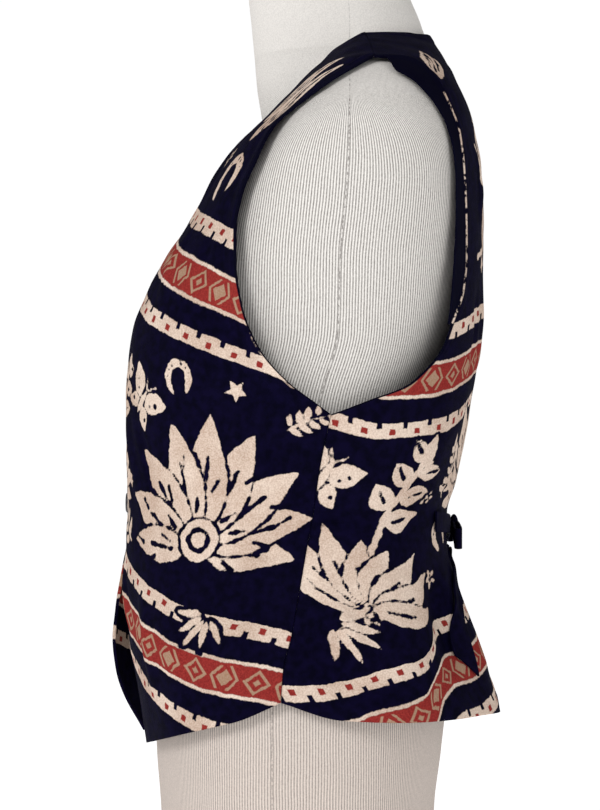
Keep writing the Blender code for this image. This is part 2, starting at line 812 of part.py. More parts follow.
def dress_form(name, finish):
    """One closed, smooth body from the flat base to the top of the neck."""
    heights = [start + step * k for start, step, rings in FORM_RINGS for k in range(rings)]
    corners = []
    for height in heights:
        centre = axis_depth(height)
        for side in range(FORM_COLUMNS):
            angle = 2 * math.pi * side / FORM_COLUMNS
            radius = form_radius(angle if angle <= math.pi else angle - 2 * math.pi, height)
            corners.append((radius * math.cos(angle), centre + radius * math.sin(angle), height))
    faces = []
    for ring in range(len(heights) - 1):
        for side in range(FORM_COLUMNS):
            a = ring * FORM_COLUMNS + side
            b = ring * FORM_COLUMNS + (side + 1) % FORM_COLUMNS
            faces.append((a, b, b + FORM_COLUMNS, a + FORM_COLUMNS))
    base = len(corners)
    corners.append((0.0, axis_depth(heights[0]), heights[0]))
    corners.append((0.0, axis_depth(heights[-1]), heights[-1]))
    top = (len(heights) - 1) * FORM_COLUMNS
    for side in range(FORM_COLUMNS):
        beside = (side + 1) % FORM_COLUMNS
        faces.append((base, beside, side))
        faces.append((base + 1, top + side, top + beside))
    return add_object(name, corners, faces, finish, smooth_under=60.0)


def main():
    for old in list(bpy.data.objects):
        bpy.data.objects.remove(old, do_unlink=True)
    cloth, lining, button_finish, jersey = [material(*row) for row in FINISHES]

    dress_form("dress_form", jersey)
    front_panel("front_left", LEFT_EDGE, False, cloth)
    front_panel("front_right", RIGHT_EDGE, True, cloth)
    back_panel("back", cloth)
    for side, on_right in (("left", False), ("right", True)):
        armhole_facing("armhole_facing_" + side, on_right, lining)
        tie_strap("tie_strap_" + side, on_right, cloth)
        tie_loop("tie_loop_" + side, on_right, cloth)
    tie_knot("tie_knot", cloth)
    tie_tail("tie_tail_left", TAIL_LEFT, False, cloth)
    tie_tail("tie_tail_right", TAIL_RIGHT, True, cloth)
    for number, height in enumerate(BUTTON_HEIGHTS, start=1):
        button(f"button_{number}", height, button_finish)


main()
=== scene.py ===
"""Looks of the western vest and its dress form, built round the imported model.

Metres, +Z up. The wearer faces -Y, the wearer's left is +X, and the photograph looks along -X. The cloth
and the form are worked out from the same sections as the solids, on a finer grid. The material paints the
print from two values in millimetres on the cloth, print_u across and print_down from the top edge of a
group of bands, and from the distances to drawn shapes.
"""
import math

import bmesh
import bpy
import mathutils
import mathutils.kdtree
import numpy as np
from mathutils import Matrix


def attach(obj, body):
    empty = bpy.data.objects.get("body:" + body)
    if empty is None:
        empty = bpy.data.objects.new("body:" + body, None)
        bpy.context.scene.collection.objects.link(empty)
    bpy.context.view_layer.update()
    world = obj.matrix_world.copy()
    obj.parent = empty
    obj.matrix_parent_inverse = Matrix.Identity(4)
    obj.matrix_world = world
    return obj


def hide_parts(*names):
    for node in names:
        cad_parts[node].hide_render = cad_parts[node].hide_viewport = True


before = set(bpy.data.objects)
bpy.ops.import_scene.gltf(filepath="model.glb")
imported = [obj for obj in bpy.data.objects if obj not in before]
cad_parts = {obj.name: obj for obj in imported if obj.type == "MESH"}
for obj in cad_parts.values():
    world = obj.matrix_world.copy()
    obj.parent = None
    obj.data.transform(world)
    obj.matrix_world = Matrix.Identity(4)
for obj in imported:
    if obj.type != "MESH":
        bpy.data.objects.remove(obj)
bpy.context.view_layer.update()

# Camera: the photograph's view
CAMERA_PLACE = (1.8, 0.0, 0.38375)
CAMERA_LENS = 106.667
SENSOR = 36.0

# Cloth
WALL = 0.002
SEAM_GAP = 0.0003
FACING_WALL = 0.0015
TIE_WALL = 0.0014
TIE_GAP = 0.0011
BUTTON_GAP = 0.0012
LAP = 0.018                 # the right front's reach past the centre
LAP_RAISE = WALL + 0.0008   # how far it lies over the left one
LAP_START = 0.052           # from the centre, where it starts to rise
LAP_FULL = 0.021            # and where it lies over in full

# The solids' rows, which place the panels' points
ROWS = 32
ARMHOLE_ROWS = 19
NECK_ROWS_FRONT = 16
NECK_ROWS_BACK = 6
ROW_CROWDING = 1.3          # rows crowd towards the shoulder
HALVINGS = 40

# Finer grids
FRONT_ROWS = 400
FRONT_COLUMNS = 216
BACK_ROWS = 380
BACK_COLUMNS = 128
INSIDE_SHARE = 3            # the inside has this many times fewer rows and columns
FORM_COLUMNS = 264

CLOTH_SECTIONS = (          # height, front, back, half width, squareness
    (0.11, -0.112, 0.15, 0.173, 2.4),
    (0.138, -0.114, 0.15, 0.172, 2.4),
    (0.16, -0.1175, 0.148, 0.1705, 2.4),
    (0.19, -0.1225, 0.1385, 0.1665, 2.4),
    (0.2165, -0.126, 0.129, 0.161, 2.5),
    (0.25, -0.1265, 0.1175, 0.1535, 2.6),
    (0.2825, -0.1245, 0.109, 0.149, 2.7),
    (0.305, -0.1238, 0.109, 0.1485, 2.7),
    (0.3275, -0.1235, 0.1155, 0.1505, 2.7),
    (0.3725, -0.122, 0.1245, 0.157, 2.7),
    (0.4175, -0.1195, 0.1312, 0.165, 2.7),
    (0.44, -0.1165, 0.1335, 0.17, 2.7),
    (0.4625, -0.1095, 0.1342, 0.174, 2.7),
    (0.485, -0.1, 0.1348, 0.177, 2.7),
    (0.5075, -0.087, 0.135, 0.1795, 2.7),
    (0.53, -0.0745, 0.135, 0.181, 2.7),
    (0.5525, -0.0605, 0.1335, 0.1815, 2.7),
    (0.575, -0.0445, 0.1305, 0.18, 2.6),
    (0.588, -0.03, 0.1272, 0.1775, 2.6),
    (0.6, -0.018, 0.1235, 0.1735, 2.6),
    (0.609, -0.009, 0.1198, 0.168, 2.6),
    (0.617, -0.002, 0.1165, 0.16, 2.5),
    (0.624, 0.0045, 0.1138, 0.15, 2.4),
    (0.63, 0.01, 0.1115, 0.135, 2.3),
    (0.6375, 0.0156, 0.1085, 0.115, 2.2),
    (0.644, 0.0235, 0.1058, 0.098, 2.1),
    (0.651, 0.033, 0.1022, 0.078, 2.0),
    (0.66, 0.04, 0.097, 0.064, 2.0),
)
AXIS_LINE = (               # height, depth
    (0.0, 0.0), (0.16, 0.0), (0.3, -0.004), (0.39, 0.016), (0.48, 0.028), (0.56, 0.036),
    (0.609, 0.047), (0.624, 0.051), (0.651, 0.047), (0.69, 0.03), (0.73, 0.018),
)
FOLDS = (                   # side, degrees from the centre front, half angle, depth, bottom, top
    ("both", 31.0, 34.0, 0.0095, 0.305, 0.535),
    ("both", 27.0, 31.0, 0.005, 0.17, 0.44),
    ("right", 12.0, 34.0, 0.016, 0.05, 0.31),
    ("both", 52.0, 20.0, 0.003, 0.11, 0.33),
    ("both", 134.0, 9.0, -0.01, 0.175, 0.285),
    ("both", 152.0, 13.0, 0.005, 0.11, 0.275),
    ("both", 116.0, 15.0, 0.005, 0.11, 0.285),
    ("both", 150.0, 14.0, -0.0035, 0.3, 0.42),
    ("both", 128.0, 12.0, 0.003, 0.3, 0.4),
)
NECKLINE = (                # from the centre, height
    (0.078, 0.651), (0.0765, 0.63), (0.072, 0.609), (0.064, 0.588), (0.046, 0.552),
    (0.024, 0.508), (0.0, 0.466), (-LAP, 0.45),
)
LEFT_EDGE = (
    (-LAP, 0.45), (-LAP, 0.32), (-0.013, 0.298), (0.003, 0.275), (0.015, 0.24), (0.026, 0.2),
    (0.04, 0.165), (0.056, 0.1385),
)
RIGHT_EDGE = (
    (-LAP, 0.45), (-LAP, 0.322), (-0.011, 0.302), (0.002, 0.283), (0.006, 0.24), (0.013, 0.2),
    (0.027, 0.165), (0.045, 0.1335),
)
ARMHOLE_FRONT = (           # depth, height
    (0.051, 0.624), (0.0303, 0.6114), (0.0034, 0.5936), (-0.0147, 0.5749), (-0.0277, 0.5494),
    (-0.0362, 0.5294), (-0.0412, 0.505), (-0.0418, 0.481), (-0.0385, 0.453), (-0.0263, 0.422),
    (-0.0086, 0.4008), (0.01, 0.386), (0.0213, 0.377),
)
ARMHOLE_BACK = (
    (0.051, 0.624), (0.07, 0.624), (0.086, 0.618), (0.093, 0.6106), (0.103, 0.5934),
    (0.1114, 0.572), (0.1148, 0.5405), (0.1162, 0.51), (0.1165, 0.486), (0.1145, 0.464),
    (0.1075, 0.443), (0.0987, 0.422), (0.088, 0.4085), (0.0745, 0.397), (0.048, 0.387),
    (0.0213, 0.377),
)
FACING_EDGE = (
    (0.048, 0.617), (0.06, 0.6135), (0.0743, 0.6067), (0.084, 0.5985), (0.093, 0.589),
    (0.1011, 0.576), (0.106, 0.56), (0.108, 0.54), (0.108, 0.515), (0.1068, 0.49),
    (0.1057, 0.468), (0.1048, 0.453), (0.1035, 0.44),
)
SIDE_SEAM = (
    (0.0213, 0.377), (0.014, 0.3418), (0.0095, 0.311), (0.0041, 0.2813), (-0.0058, 0.2263),
    (-0.0117, 0.2009), (-0.013, 0.181),
)
BACK_NECK = (               # degrees, height
    (0.0, 0.651), (30.0, 0.6535), (60.0, 0.657), (90.0, 0.659),
)
BACK_HEM_HEIGHT = 0.157
FRONT_HEM = (               # share of the width, drop
    (0.0, 0.0), (0.25, 0.0045), (0.5, 0.0065), (0.8, 0.006), (1.0, 0.0),
)
BACK_HEM = (
    (0.0, 0.0), (0.3, 0.0015), (0.6, 0.006), (0.85, 0.0085), (1.0, 0.0),
)
FORM_SECTIONS = (           # height, front, back, half width, squareness
    (0.0, -0.096, 0.093, 0.15, 2.3),
    (0.008, -0.1, 0.097, 0.154, 2.3),
    (0.09, -0.1035, 0.1, 0.159, 2.3),
    (0.13, -0.1065, 0.105, 0.161, 2.3),
    (0.175, -0.108, 0.109, 0.16, 2.3),
    (0.22, -0.103, 0.102, 0.15, 2.3),
    (0.285, -0.092, 0.084, 0.13, 2.3),
    (0.32, -0.092, 0.087, 0.131, 2.3),
    (0.37, -0.104, 0.102, 0.142, 2.3),
    (0.42, -0.112, 0.116, 0.153, 2.3),
    (0.46, -0.106, 0.1245, 0.164, 2.4),
    (0.49, -0.0915, 0.128, 0.171, 2.5),
    (0.53, -0.069, 0.13, 0.1755, 2.6),
    (0.555, -0.0545, 0.129, 0.177, 2.6),
    (0.58, -0.034, 0.125, 0.175, 2.6),
    (0.594, -0.018, 0.1212, 0.171, 2.6),
    (0.603, -0.008, 0.118, 0.1665, 2.5),
    (0.611, -0.001, 0.1148, 0.159, 2.5),
    (0.6185, 0.006, 0.1117, 0.149, 2.4),
    (0.6255, 0.012, 0.109, 0.1345, 2.3),
    (0.6338, 0.019, 0.1058, 0.115, 2.2),
    (0.6406, 0.027, 0.1025, 0.0984, 2.1),
    (0.648, 0.036, 0.099, 0.0785, 2.0),
    (0.656, 0.04, 0.09, 0.05, 2.0),
    (0.664, 0.041, 0.06, 0.02, 2.0),
)
NECK_SECTIONS = (
    (0.55, -0.02, 0.1, 0.066, 2.0),
    (0.598, -0.028, 0.1, 0.064, 2.0),
    (0.62, -0.0318, 0.0985, 0.0625, 2.0),
    (0.6425, -0.0338, 0.096, 0.061, 2.0),
    (0.665, -0.036, 0.0915, 0.059, 2.0),
    (0.6875, -0.0385, 0.0825, 0.0575, 2.0),
    (0.714, -0.041, 0.072, 0.056, 2.0),
    (0.719, -0.039, 0.07, 0.054, 2.0),
    (0.722, -0.034, 0.066, 0.05, 2.0),
)
NECK_FROM = 0.5600
BODY_TO = 0.6640
FORM_BLEND = 0.0060

# The print, in millimetres. A period runs from one band group's top to the next
MM = 1000.0
PERIOD = 255.0
FRONT_TOP = 174.0           # height on the print of a band group's top edge on the fronts
BACK_TOP = 88.0             # and on the back
FRONT_SLOPE = 0.345
BACK_SLOPE = 0.19
BACK_SCALE = 0.98
BACK_FLARE = (0.45, 165.0, -30.0, 40.0)     # share, distance down, least and most, of the lower waves' shift
MERIDIAN_ZERO = 0.38        # heights on the print are measured from this height
RIGHT_TURN = 236.0          # the right front's motifs are the left one's, turned round at this place
PLAIN_DOWN = 150.0          # a place in the print without bands
FAR = 5.0                   # a distance that paints nothing
MOTIF_RANGE = 6.0           # distances to motifs are held to this
LENGTH_ANGLES = (-105.0, 105.0, 421)        # the places at which cloth lengths are measured
LENGTH_HEIGHTS = (0.10, 0.662, 563)


class Curve:
    """Smooth columns over a rising first column, without overshoot, read at many places at once."""

    def __init__(self, rows):
        table = np.array(sorted(rows), dtype=float)
        self.at = table[:, 0]
        self.values = table[:, 1:]
        steps = np.diff(self.at)
        rises = np.diff(self.values, axis=0) / steps[:, None]
        slopes = np.zeros_like(self.values)
        slopes[0] = rises[0]
        slopes[-1] = rises[-1]
        for k in range(1, len(self.at) - 1):
            before = 2 * steps[k] + steps[k - 1]
            after = steps[k] + 2 * steps[k - 1]
            same = rises[k - 1] * rises[k] > 0
            safe_before = np.where(same, rises[k - 1], 1.0)
            safe_after = np.where(same, rises[k], 1.0)
            mean = (before + after) / (before / safe_before + after / safe_after)
            slopes[k] = np.where(same, mean, 0.0)
        self.slopes = slopes

    def __call__(self, where):
        where = np.clip(np.asarray(where, dtype=float), self.at[0], self.at[-1])
        k = np.clip(np.searchsorted(self.at, where) - 1, 0, len(self.at) - 2)
        step = (self.at[k + 1] - self.at[k])[..., None]
        t = (where - self.at[k])[..., None] / step
        return (
            (2 * t**3 - 3 * t**2 + 1) * self.values[k]
            + (t**3 - 2 * t**2 + t) * step * self.slopes[k]
            + (-2 * t**3 + 3 * t**2) * self.values[k + 1]
            + (t**3 - t**2) * step * self.slopes[k + 1]
        )


CLOTH = Curve(CLOTH_SECTIONS)
AXIS = Curve(AXIS_LINE)
FORM = Curve(FORM_SECTIONS)
NECK = Curve(NECK_SECTIONS)


def axis_depth(height):
    return AXIS(height)[..., 0]


def section_radius(section, angle, centre):
    across = np.cos(angle)
    along = np.sin(angle)
    depth = np.where(along > 0, section[..., 1] - centre, centre - section[..., 0])
    squareness = section[..., 3]
    total = (np.abs(across) / section[..., 2]) ** squareness + (np.abs(along) / depth) ** squareness
    return total ** (-1.0 / squareness)


def bell(share):
    return np.where(np.abs(share) < 1, 0.5 + 0.5 * np.cos(np.pi * share), 0.0)


def smooth_step(low, high, value):
    t = np.clip((value - low) / (high - low), 0.0, 1.0)
    return t * t * (3 - 2 * t)


def fold_depth(angle, height):
    degrees = np.degrees(angle) + 90.0
    degrees = np.where(degrees > 180.0, degrees - 360.0, degrees)
    total = np.zeros_like(degrees)
    for side, place, half_angle, depth, bottom, top in FOLDS:
        upright = bell((height - (bottom + top) / 2) / ((top - bottom) / 2))
        fold = depth * upright * bell((np.abs(degrees) - place) / half_angle)
        if side == "right":
            fold = np.where(degrees < 0, fold, 0.0)
        total = total + fold
    return total


def cloth_at(angle, height):
    """Points on the cloth's outer face, as the solids have it."""
    angle, height = np.broadcast_arrays(np.asarray(angle, float), np.asarray(height, float))
    centre = axis_depth(height)
    radius = section_radius(CLOTH(height), angle, centre) + fold_depth(angle, height)
    return np.stack((radius * np.cos(angle), centre + radius * np.sin(angle), height), axis=-1)


def unit(vectors):
    return vectors / np.maximum(np.linalg.norm(vectors, axis=-1, keepdims=True), 1e-12)


def outward(angle, height):
    turn = 0.004
    rise = 0.0006
    around = cloth_at(angle + turn, height) - cloth_at(angle - turn, height)
    upward = cloth_at(angle, height + rise) - cloth_at(angle, height - rise)
    return unit(np.cross(around, upward))


def solve(function, low, high, wanted):
    """Where a rising function reaches the wanted values, by halving."""
    low = np.full_like(wanted, low)
    high = np.full_like(wanted, high)
    for _ in range(HALVINGS):
        middle = (low + high) / 2
        below = function(middle) < wanted
        low = np.where(below, middle, low)
        high = np.where(below, high, middle)
    return (low + high) / 2


def angle_at_depth(depth, height):
    return solve(lambda a: cloth_at(a, height)[..., 1], -math.pi / 2, math.pi / 2, depth)


def angle_at_width(width, height):
    return solve(lambda a: cloth_at(a, height)[..., 0], -math.pi * 0.99, 0.0, width)


def along(points, share):
    """Places at shares of the length of a smooth curve through a table."""
    points = np.array(points, dtype=float)
    lengths = np.concatenate(([0.0], np.cumsum(np.linalg.norm(np.diff(points, axis=0), axis=1))))
    curve = Curve([(length, *point) for length, point in zip(lengths, points)])
    return curve(lengths[-1] * share)


def outer_edge(armhole, turn, rows):
    """Angles and heights down an armhole and the side seam, at fractional rows."""
    down_hole = along(armhole, np.clip(rows / ARMHOLE_ROWS, 0, 1) ** ROW_CROWDING)
    down_seam = along(SIDE_SEAM, np.clip((rows - ARMHOLE_ROWS) / (ROWS - ARMHOLE_ROWS), 0, 1))
    place = np.where((rows < ARMHOLE_ROWS)[:, None], down_hole, down_seam)
    angle = angle_at_depth(place[:, 0], place[:, 1])
    point = cloth_at(angle, place[:, 1])
    radius = np.hypot(point[:, 0], point[:, 1] - axis_depth(place[:, 1]))
    return angle + turn / radius, place[:, 1]


def front_inner_edge(lower_edge, turn, rows):
    down_neck = along(NECKLINE, np.clip(rows / NECK_ROWS_FRONT, 0, 1) ** ROW_CROWDING)
    down_edge = along(lower_edge, np.clip((rows - NECK_ROWS_FRONT) / (ROWS - NECK_ROWS_FRONT), 0, 1))
    place = np.where((rows < NECK_ROWS_FRONT)[:, None], down_neck, down_edge)
    angle = angle_at_width(place[:, 0], place[:, 1])
    return np.minimum(angle, turn / NECKLINE[0][0]), place[:, 1]


def back_inner_edge(turn, rows):
    degrees = np.clip(90.0 * rows / NECK_ROWS_BACK, 0, 90)
    neck = Curve(BACK_NECK)
    top = float(neck(90.0)[0])
    share = np.clip((rows - NECK_ROWS_BACK) / (ROWS - NECK_ROWS_BACK), 0, 1)
    height = np.where(rows < NECK_ROWS_BACK, neck(degrees)[:, 0], top + (BACK_HEM_HEIGHT - top) * share)
    return np.maximum(np.radians(degrees), turn / NECKLINE[0][0]), height


def panel_places(inner, outer, hem, hem_from, rows, shares):
    """Grids of angles and heights between two edges, with the hem's curve let in over the lower rows."""
    angle = inner[0][:, None] + (outer[0] - inner[0])[:, None] * shares[None, :]
    height = inner[1][:, None] + (outer[1] - inner[1])[:, None] * shares[None, :]
    let_in = smooth_step(hem_from, ROWS, rows)[:, None]
    return angle, height - let_in * Curve(hem)(shares)[:, 0][None, :]


class Lengths:
    """Cloth lengths in millimetres on the left half, from a centre line and from the zero height."""

    def __init__(self):
        self.angles = np.radians(np.linspace(*LENGTH_ANGLES))
        self.heights = np.linspace(*LENGTH_HEIGHTS)
        points = cloth_at(self.angles[None, :], self.heights[:, None])
        around = np.linalg.norm(np.diff(points, axis=1), axis=2)
        around = np.concatenate((np.zeros((len(self.heights), 1)), np.cumsum(around, axis=1)), axis=1)
        front = int(np.argmin(np.abs(self.angles + math.pi / 2)))
        back = int(np.argmin(np.abs(self.angles - math.pi / 2)))
        self.from_front = MM * (around - around[:, front:front + 1])
        self.from_back = MM * (around[:, back:back + 1] - around)
        upward = np.linalg.norm(np.diff(points, axis=0), axis=2)
        upward = np.concatenate((np.zeros((1, len(self.angles))), np.cumsum(upward, axis=0)), axis=0)
        zero = int(np.argmin(np.abs(self.heights - MERIDIAN_ZERO)))
        self.upward = MM * (upward - upward[zero:zero + 1])

    def read(self, grid, angle, height):
        column = (angle - self.angles[0]) / (self.angles[1] - self.angles[0])
        row = (height - self.heights[0]) / (self.heights[1] - self.heights[0])
        column = np.clip(column, 0, len(self.angles) - 1.001)
        row = np.clip(row, 0, len(self.heights) - 1.001)
        c = column.astype(int)
        r = row.astype(int)
        x = column - c
        y = row - r
        low = grid[r, c] * (1 - x) + grid[r, c + 1] * x
        high = grid[r + 1, c] * (1 - x) + grid[r + 1, c + 1] * x
        return low * (1 - y) + high * y


LENGTHS = Lengths()
FRONT_FLATTENING = (10.0, 150.0, 230.0, 0.0, -120.0)    # lift, from and to across, from and to down
BACK_UPPER_DROP = Curve((
    (0.0, 0.0), (30.0, 3.2), (75.0, 12.7), (150.0, 28.5), (180.0, 30.0), (196.0, 27.0),
    (215.0, 22.0), (245.0, 14.0),
))
BACK_LOWER_DROP = Curve((
    (0.0, -38.0), (30.0, -34.8), (75.0, -25.6), (126.0, -15.5), (133.0, -10.0), (147.0, 5.0),
    (160.0, 9.0), (186.0, 13.5), (204.0, 18.5), (230.0, 21.6), (270.0, 21.0),
))


def front_print(s, m):
    """Places across and up the print, from cloth lengths on the left front."""
    lift, side_from, side_to, down_from, down_to = FRONT_FLATTENING
    flatten = lift * smooth_step(side_from, side_to, s) * smooth_step(-down_from, -down_to, -m)
    slant = 1 / math.sqrt(1 + FRONT_SLOPE**2)
    return slant * (s - FRONT_SLOPE * m), slant * (m + FRONT_SLOPE * s - flatten)


def back_print(s, m):
    """Places across and up the print, from cloth lengths on the left half of the back."""
    lower = smooth_step(20.0, 150.0, -m)
    share, down, least, most = BACK_FLARE
    shift = share * np.clip(-m - down, least, most)
    drop = BACK_UPPER_DROP(s)[..., 0] * (1 - lower) + BACK_LOWER_DROP(s - shift * lower)[..., 0] * lower
    return BACK_SCALE * (s - BACK_SLOPE * m * smooth_step(0.0, 80.0, s)), BACK_SCALE * (m + drop)


# Drawn shapes, as signed distances in millimetres: below zero inside
def disc(x, y, radius):
    return np.hypot(x, y) - radius


def capsule(x, y, start, end, radius):
    ax, ay = start
    bx, by = end
    length = (bx - ax) ** 2 + (by - ay) ** 2
    t = np.clip(((x - ax) * (bx - ax) + (y - ay) * (by - ay)) / length, 0, 1)
    return np.hypot(x - ax - t * (bx - ax), y - ay - t * (by - ay)) - radius


def leaf(x, y, length, width, bend=0.0):
    """A pointed leaf from the origin along +X, bent sideways, fullest before its middle."""
    t = np.clip(x / length, 0.0, 1.0)
    half = width / 2 * np.sin(np.pi * t**0.8) ** 0.85
    beyond = np.maximum(np.maximum(-x, x - length), 0.0)
    off = np.abs(y - bend * np.sin(np.pi * t * 0.5) ** 2) - half
    return np.hypot(np.maximum(off, 0.0), beyond) - np.maximum(-off, 0.0)


def radial(x, y, radius_of):
    return np.hypot(x, y) - radius_of(np.arctan2(y, x))


def cut(shape, *holes):
    for hole in holes:
        shape = np.maximum(shape, -hole)
    return shape


def join(*shapes):
    result = shapes[0]
    for shape in shapes[1:]:
        result = np.minimum(result, shape)
    return result


def over(below, top, line):
    """A shape that lies on another, with a dark line of this width round it."""
    return join(cut(below, top - line), top)


def turned(x, y, degrees):
    c = math.cos(math.radians(degrees))
    s = math.sin(math.radians(degrees))
    return c * x + s * y, -s * x + c * y


def agave(x, y):
    """A rosette of pointed leaves with dark midribs, about 100 across."""
    shape = np.full(x.shape, np.inf)
    leaves = ((-12, 42, 17), (13, 50, 19), (38, 54, 20), (64, 57, 20), (90, 60, 21), (116, 57, 20),
              (142, 54, 20), (167, 50, 19), (192, 42, 17))
    for degrees, length, width in leaves:
        lx, ly = turned(x, y, degrees)
        bend = 5.0 * float(np.sign(90 - degrees))
        blade = leaf(lx - 5, ly, length, width, bend)
        blade = cut(blade, capsule(lx, ly, (15, 0.3), (length * 0.72, bend * 0.55), 1.1))
        for k in range(3):
            notch_x = 16 + 11 * k
            side = 1 if (k + degrees // 8) % 2 else -1
            blade = cut(blade, capsule(lx, ly, (notch_x, side * 3.4), (notch_x + 6, side * 6.6), 1.0))
        shape = over(shape, blade, 1.6)
    heart = cut(disc(x, y - 3, 10), disc(x, y - 3, 6.2))
    return join(cut(shape, disc(x, y - 3, 11.5)), heart, disc(x, y - 3, 3.6))


def cactus(x, y):
    """A branching ribbed cactus with two small flowers, about 95 tall."""
    trunk = capsule(x, y, (0, -42), (0, 38), 11)
    left = join(capsule(x, y, (-8, -10), (-26, -4), 6.5), capsule(x, y, (-26, -4), (-27, 20), 7))
    right = join(capsule(x, y, (8, 2), (25, 8), 6), capsule(x, y, (25, 8), (26, 30), 6.5))
    shape = join(trunk, left, right)
    for rib_x in (-5.2, 0.0, 5.2):
        for k in range(5):
            low = -40 + 17 * k + (4 if rib_x else 0)
            shape = cut(shape, capsule(x, y, (rib_x, low), (rib_x, low + 10), 1.0))
    for rib_x, low, high in ((-27, 0, 17), (26, 12, 27)):
        shape = cut(shape, capsule(x, y, (rib_x, low), (rib_x, high), 1.1))
    ground = join(capsule(x, y, (-34, -52), (-16, -49), 2.6), capsule(x, y, (14, -50), (37, -53), 2.4))
    return join(shape, ground, blossom(x + 27, y - 33, 7.5), blossom(x - 1, y - 55, 8.0))


def blossom(x, y, radius=9.0):
    petals = radial(x, y, lambda a: radius * (0.72 + 0.28 * np.cos(5 * a)))
    return cut(petals, cut(disc(x, y, radius * 0.34), disc(x, y, radius * 0.14)))


def star(x, y, radius=9.0):
    def reach(angle):
        wedge = np.abs(np.mod(angle + math.pi / 2, 2 * math.pi / 5) - math.pi / 5)
        point = 1 + 1.15 * (wedge / (math.pi / 5)) ** 2.2
        return radius * 0.44 / np.cos(wedge * 0.62 - 0.30) * point
    return radial(x, y, reach) * 0.8


def horseshoe(x, y):
    """A horseshoe with nail holes, about 40 across."""
    outer = np.hypot(x / 0.92, y) - 20
    inner = np.hypot(x / 0.86, y + 1) - 11.5
    mouth = np.maximum(np.abs(x) - 8.2, y + 2)
    shape = cut(outer, inner, mouth)
    holes = []
    for side in (-1, 1):
        for degrees in (12, 38, 64):
            turn = math.radians(degrees)
            holes.append(disc(x - side * 14.4 * math.cos(turn), y - 15.3 * math.sin(turn), 1.25))
    return cut(shape, *holes)


def sprig(x, y):
    """A curved stem with paired leaves, about 60 long."""
    shape = capsule(x, y, (-30, -4), (0, 0), 1.3)
    shape = join(shape, capsule(x, y, (0, 0), (26, -3), 1.3))
    for k in range(5):
        root = -26 + 12 * k
        for side in (-1, 1):
            lx, ly = turned(x - root, y + 0.002 * root * root, side * 48)
            shape = join(shape, leaf(lx - 2.4, ly, 17 - k, 7.5, side * 1.5))
    lx, ly = turned(x - 26, y + 3, -6)
    return join(shape, leaf(lx, ly, 16, 8))


def fan(x, y):
    """Five loose tapering leaves that spread from a point, about 45 across."""
    blades = []
    for degrees, length in ((18, 26), (52, 27), (86, 29), (120, 27), (156, 26)):
        lx, ly = turned(x, y, degrees)
        blades.append(leaf(lx - 6, ly, length, 7.0, 3.0 if degrees < 86 else -3.0))
    return join(*blades)


def butterfly(x, y):
    """A plain butterfly with four spotted wings, about 46 across."""
    shape = leaf(*turned(x, y + 11, 90), 26, 5.5)
    for side in (-1, 1):
        upper = leaf(*turned(side * x - 2.5, y - 3, 34), 27, 17, 2.0)
        lower = leaf(*turned(side * x - 2.5, y + 2, -30), 19, 12, -1.5)
        upper = cut(upper, disc(side * x - 15, y - 11, 1.5), disc(side * x - 10, y - 6, 1.1))
        lower = cut(lower, disc(side * x - 12, y + 7, 1.2))
        feeler = capsule(side * x, y, (1.0, 14.0), (6.5, 22.0), 0.8)
        shape = join(over(join(upper, lower), shape, 1.3), feeler)
    return shape


def plume(x, y):
    """A broad feather with dark strokes along it, about 70 long."""
    shape = leaf(*turned(x, y + 35, 90), 70, 27, 4.0)
    strokes = ((-24, 20, -1.0), (-16, 8, 4.5), (-2, 24, 8.0), (-22, 2, -7.0), (8, 28, 1.5), (-8, 14, -4.0))
    for low, high, off in strokes:
        shape = cut(shape, capsule(x, y, (-off, low), (-off - 2.5, high), 1.05))
    return shape


def dots(x, y):
    """A loose bunch of dots, about 20 across."""
    shape = disc(x, y, 1.9)
    for k in range(6):
        turn = math.radians(60 * k + 13)
        shape = join(shape, disc(x - 6.2 * math.cos(turn), y - 5.8 * math.sin(turn), 1.8))
    return shape


def yucca(x, y):
    """A tall plant: a stalk with bell flowers over a spray of leaves, about 100 tall."""
    shape = capsule(x, y, (0, -20), (3, 46), 1.7)
    for k in range(6):
        height = 8 + 7.5 * k
        side = 1 if k % 2 else -1
        lx, ly = turned(x - 1.5, y - height, 90 - side * 62)
        bell_flower = cut(leaf(lx - 1, ly, 19 - k, 13 - 0.6 * k), capsule(lx, ly, (6, 0), (13, 0), 0.95))
        shape = join(shape, bell_flower)
    shape = join(shape, leaf(*turned(x - 3, y - 46, 84), 14, 8))
    spray = ((4, 38), (27, 44), (50, 42), (74, 34), (106, 34), (130, 42), (153, 44), (176, 38))
    for degrees, length in spray:
        lx, ly = turned(x, y + 40, degrees)
        side = 1.0 if degrees < 90 else -1.0
        blade = leaf(lx - 2, ly, length, 14, 2.5 * side)
        blade = cut(blade, capsule(lx, ly, (9, 0.2), (length * 0.6, side), 0.95))
        shape = over(shape, blade, 1.3)
    return shape


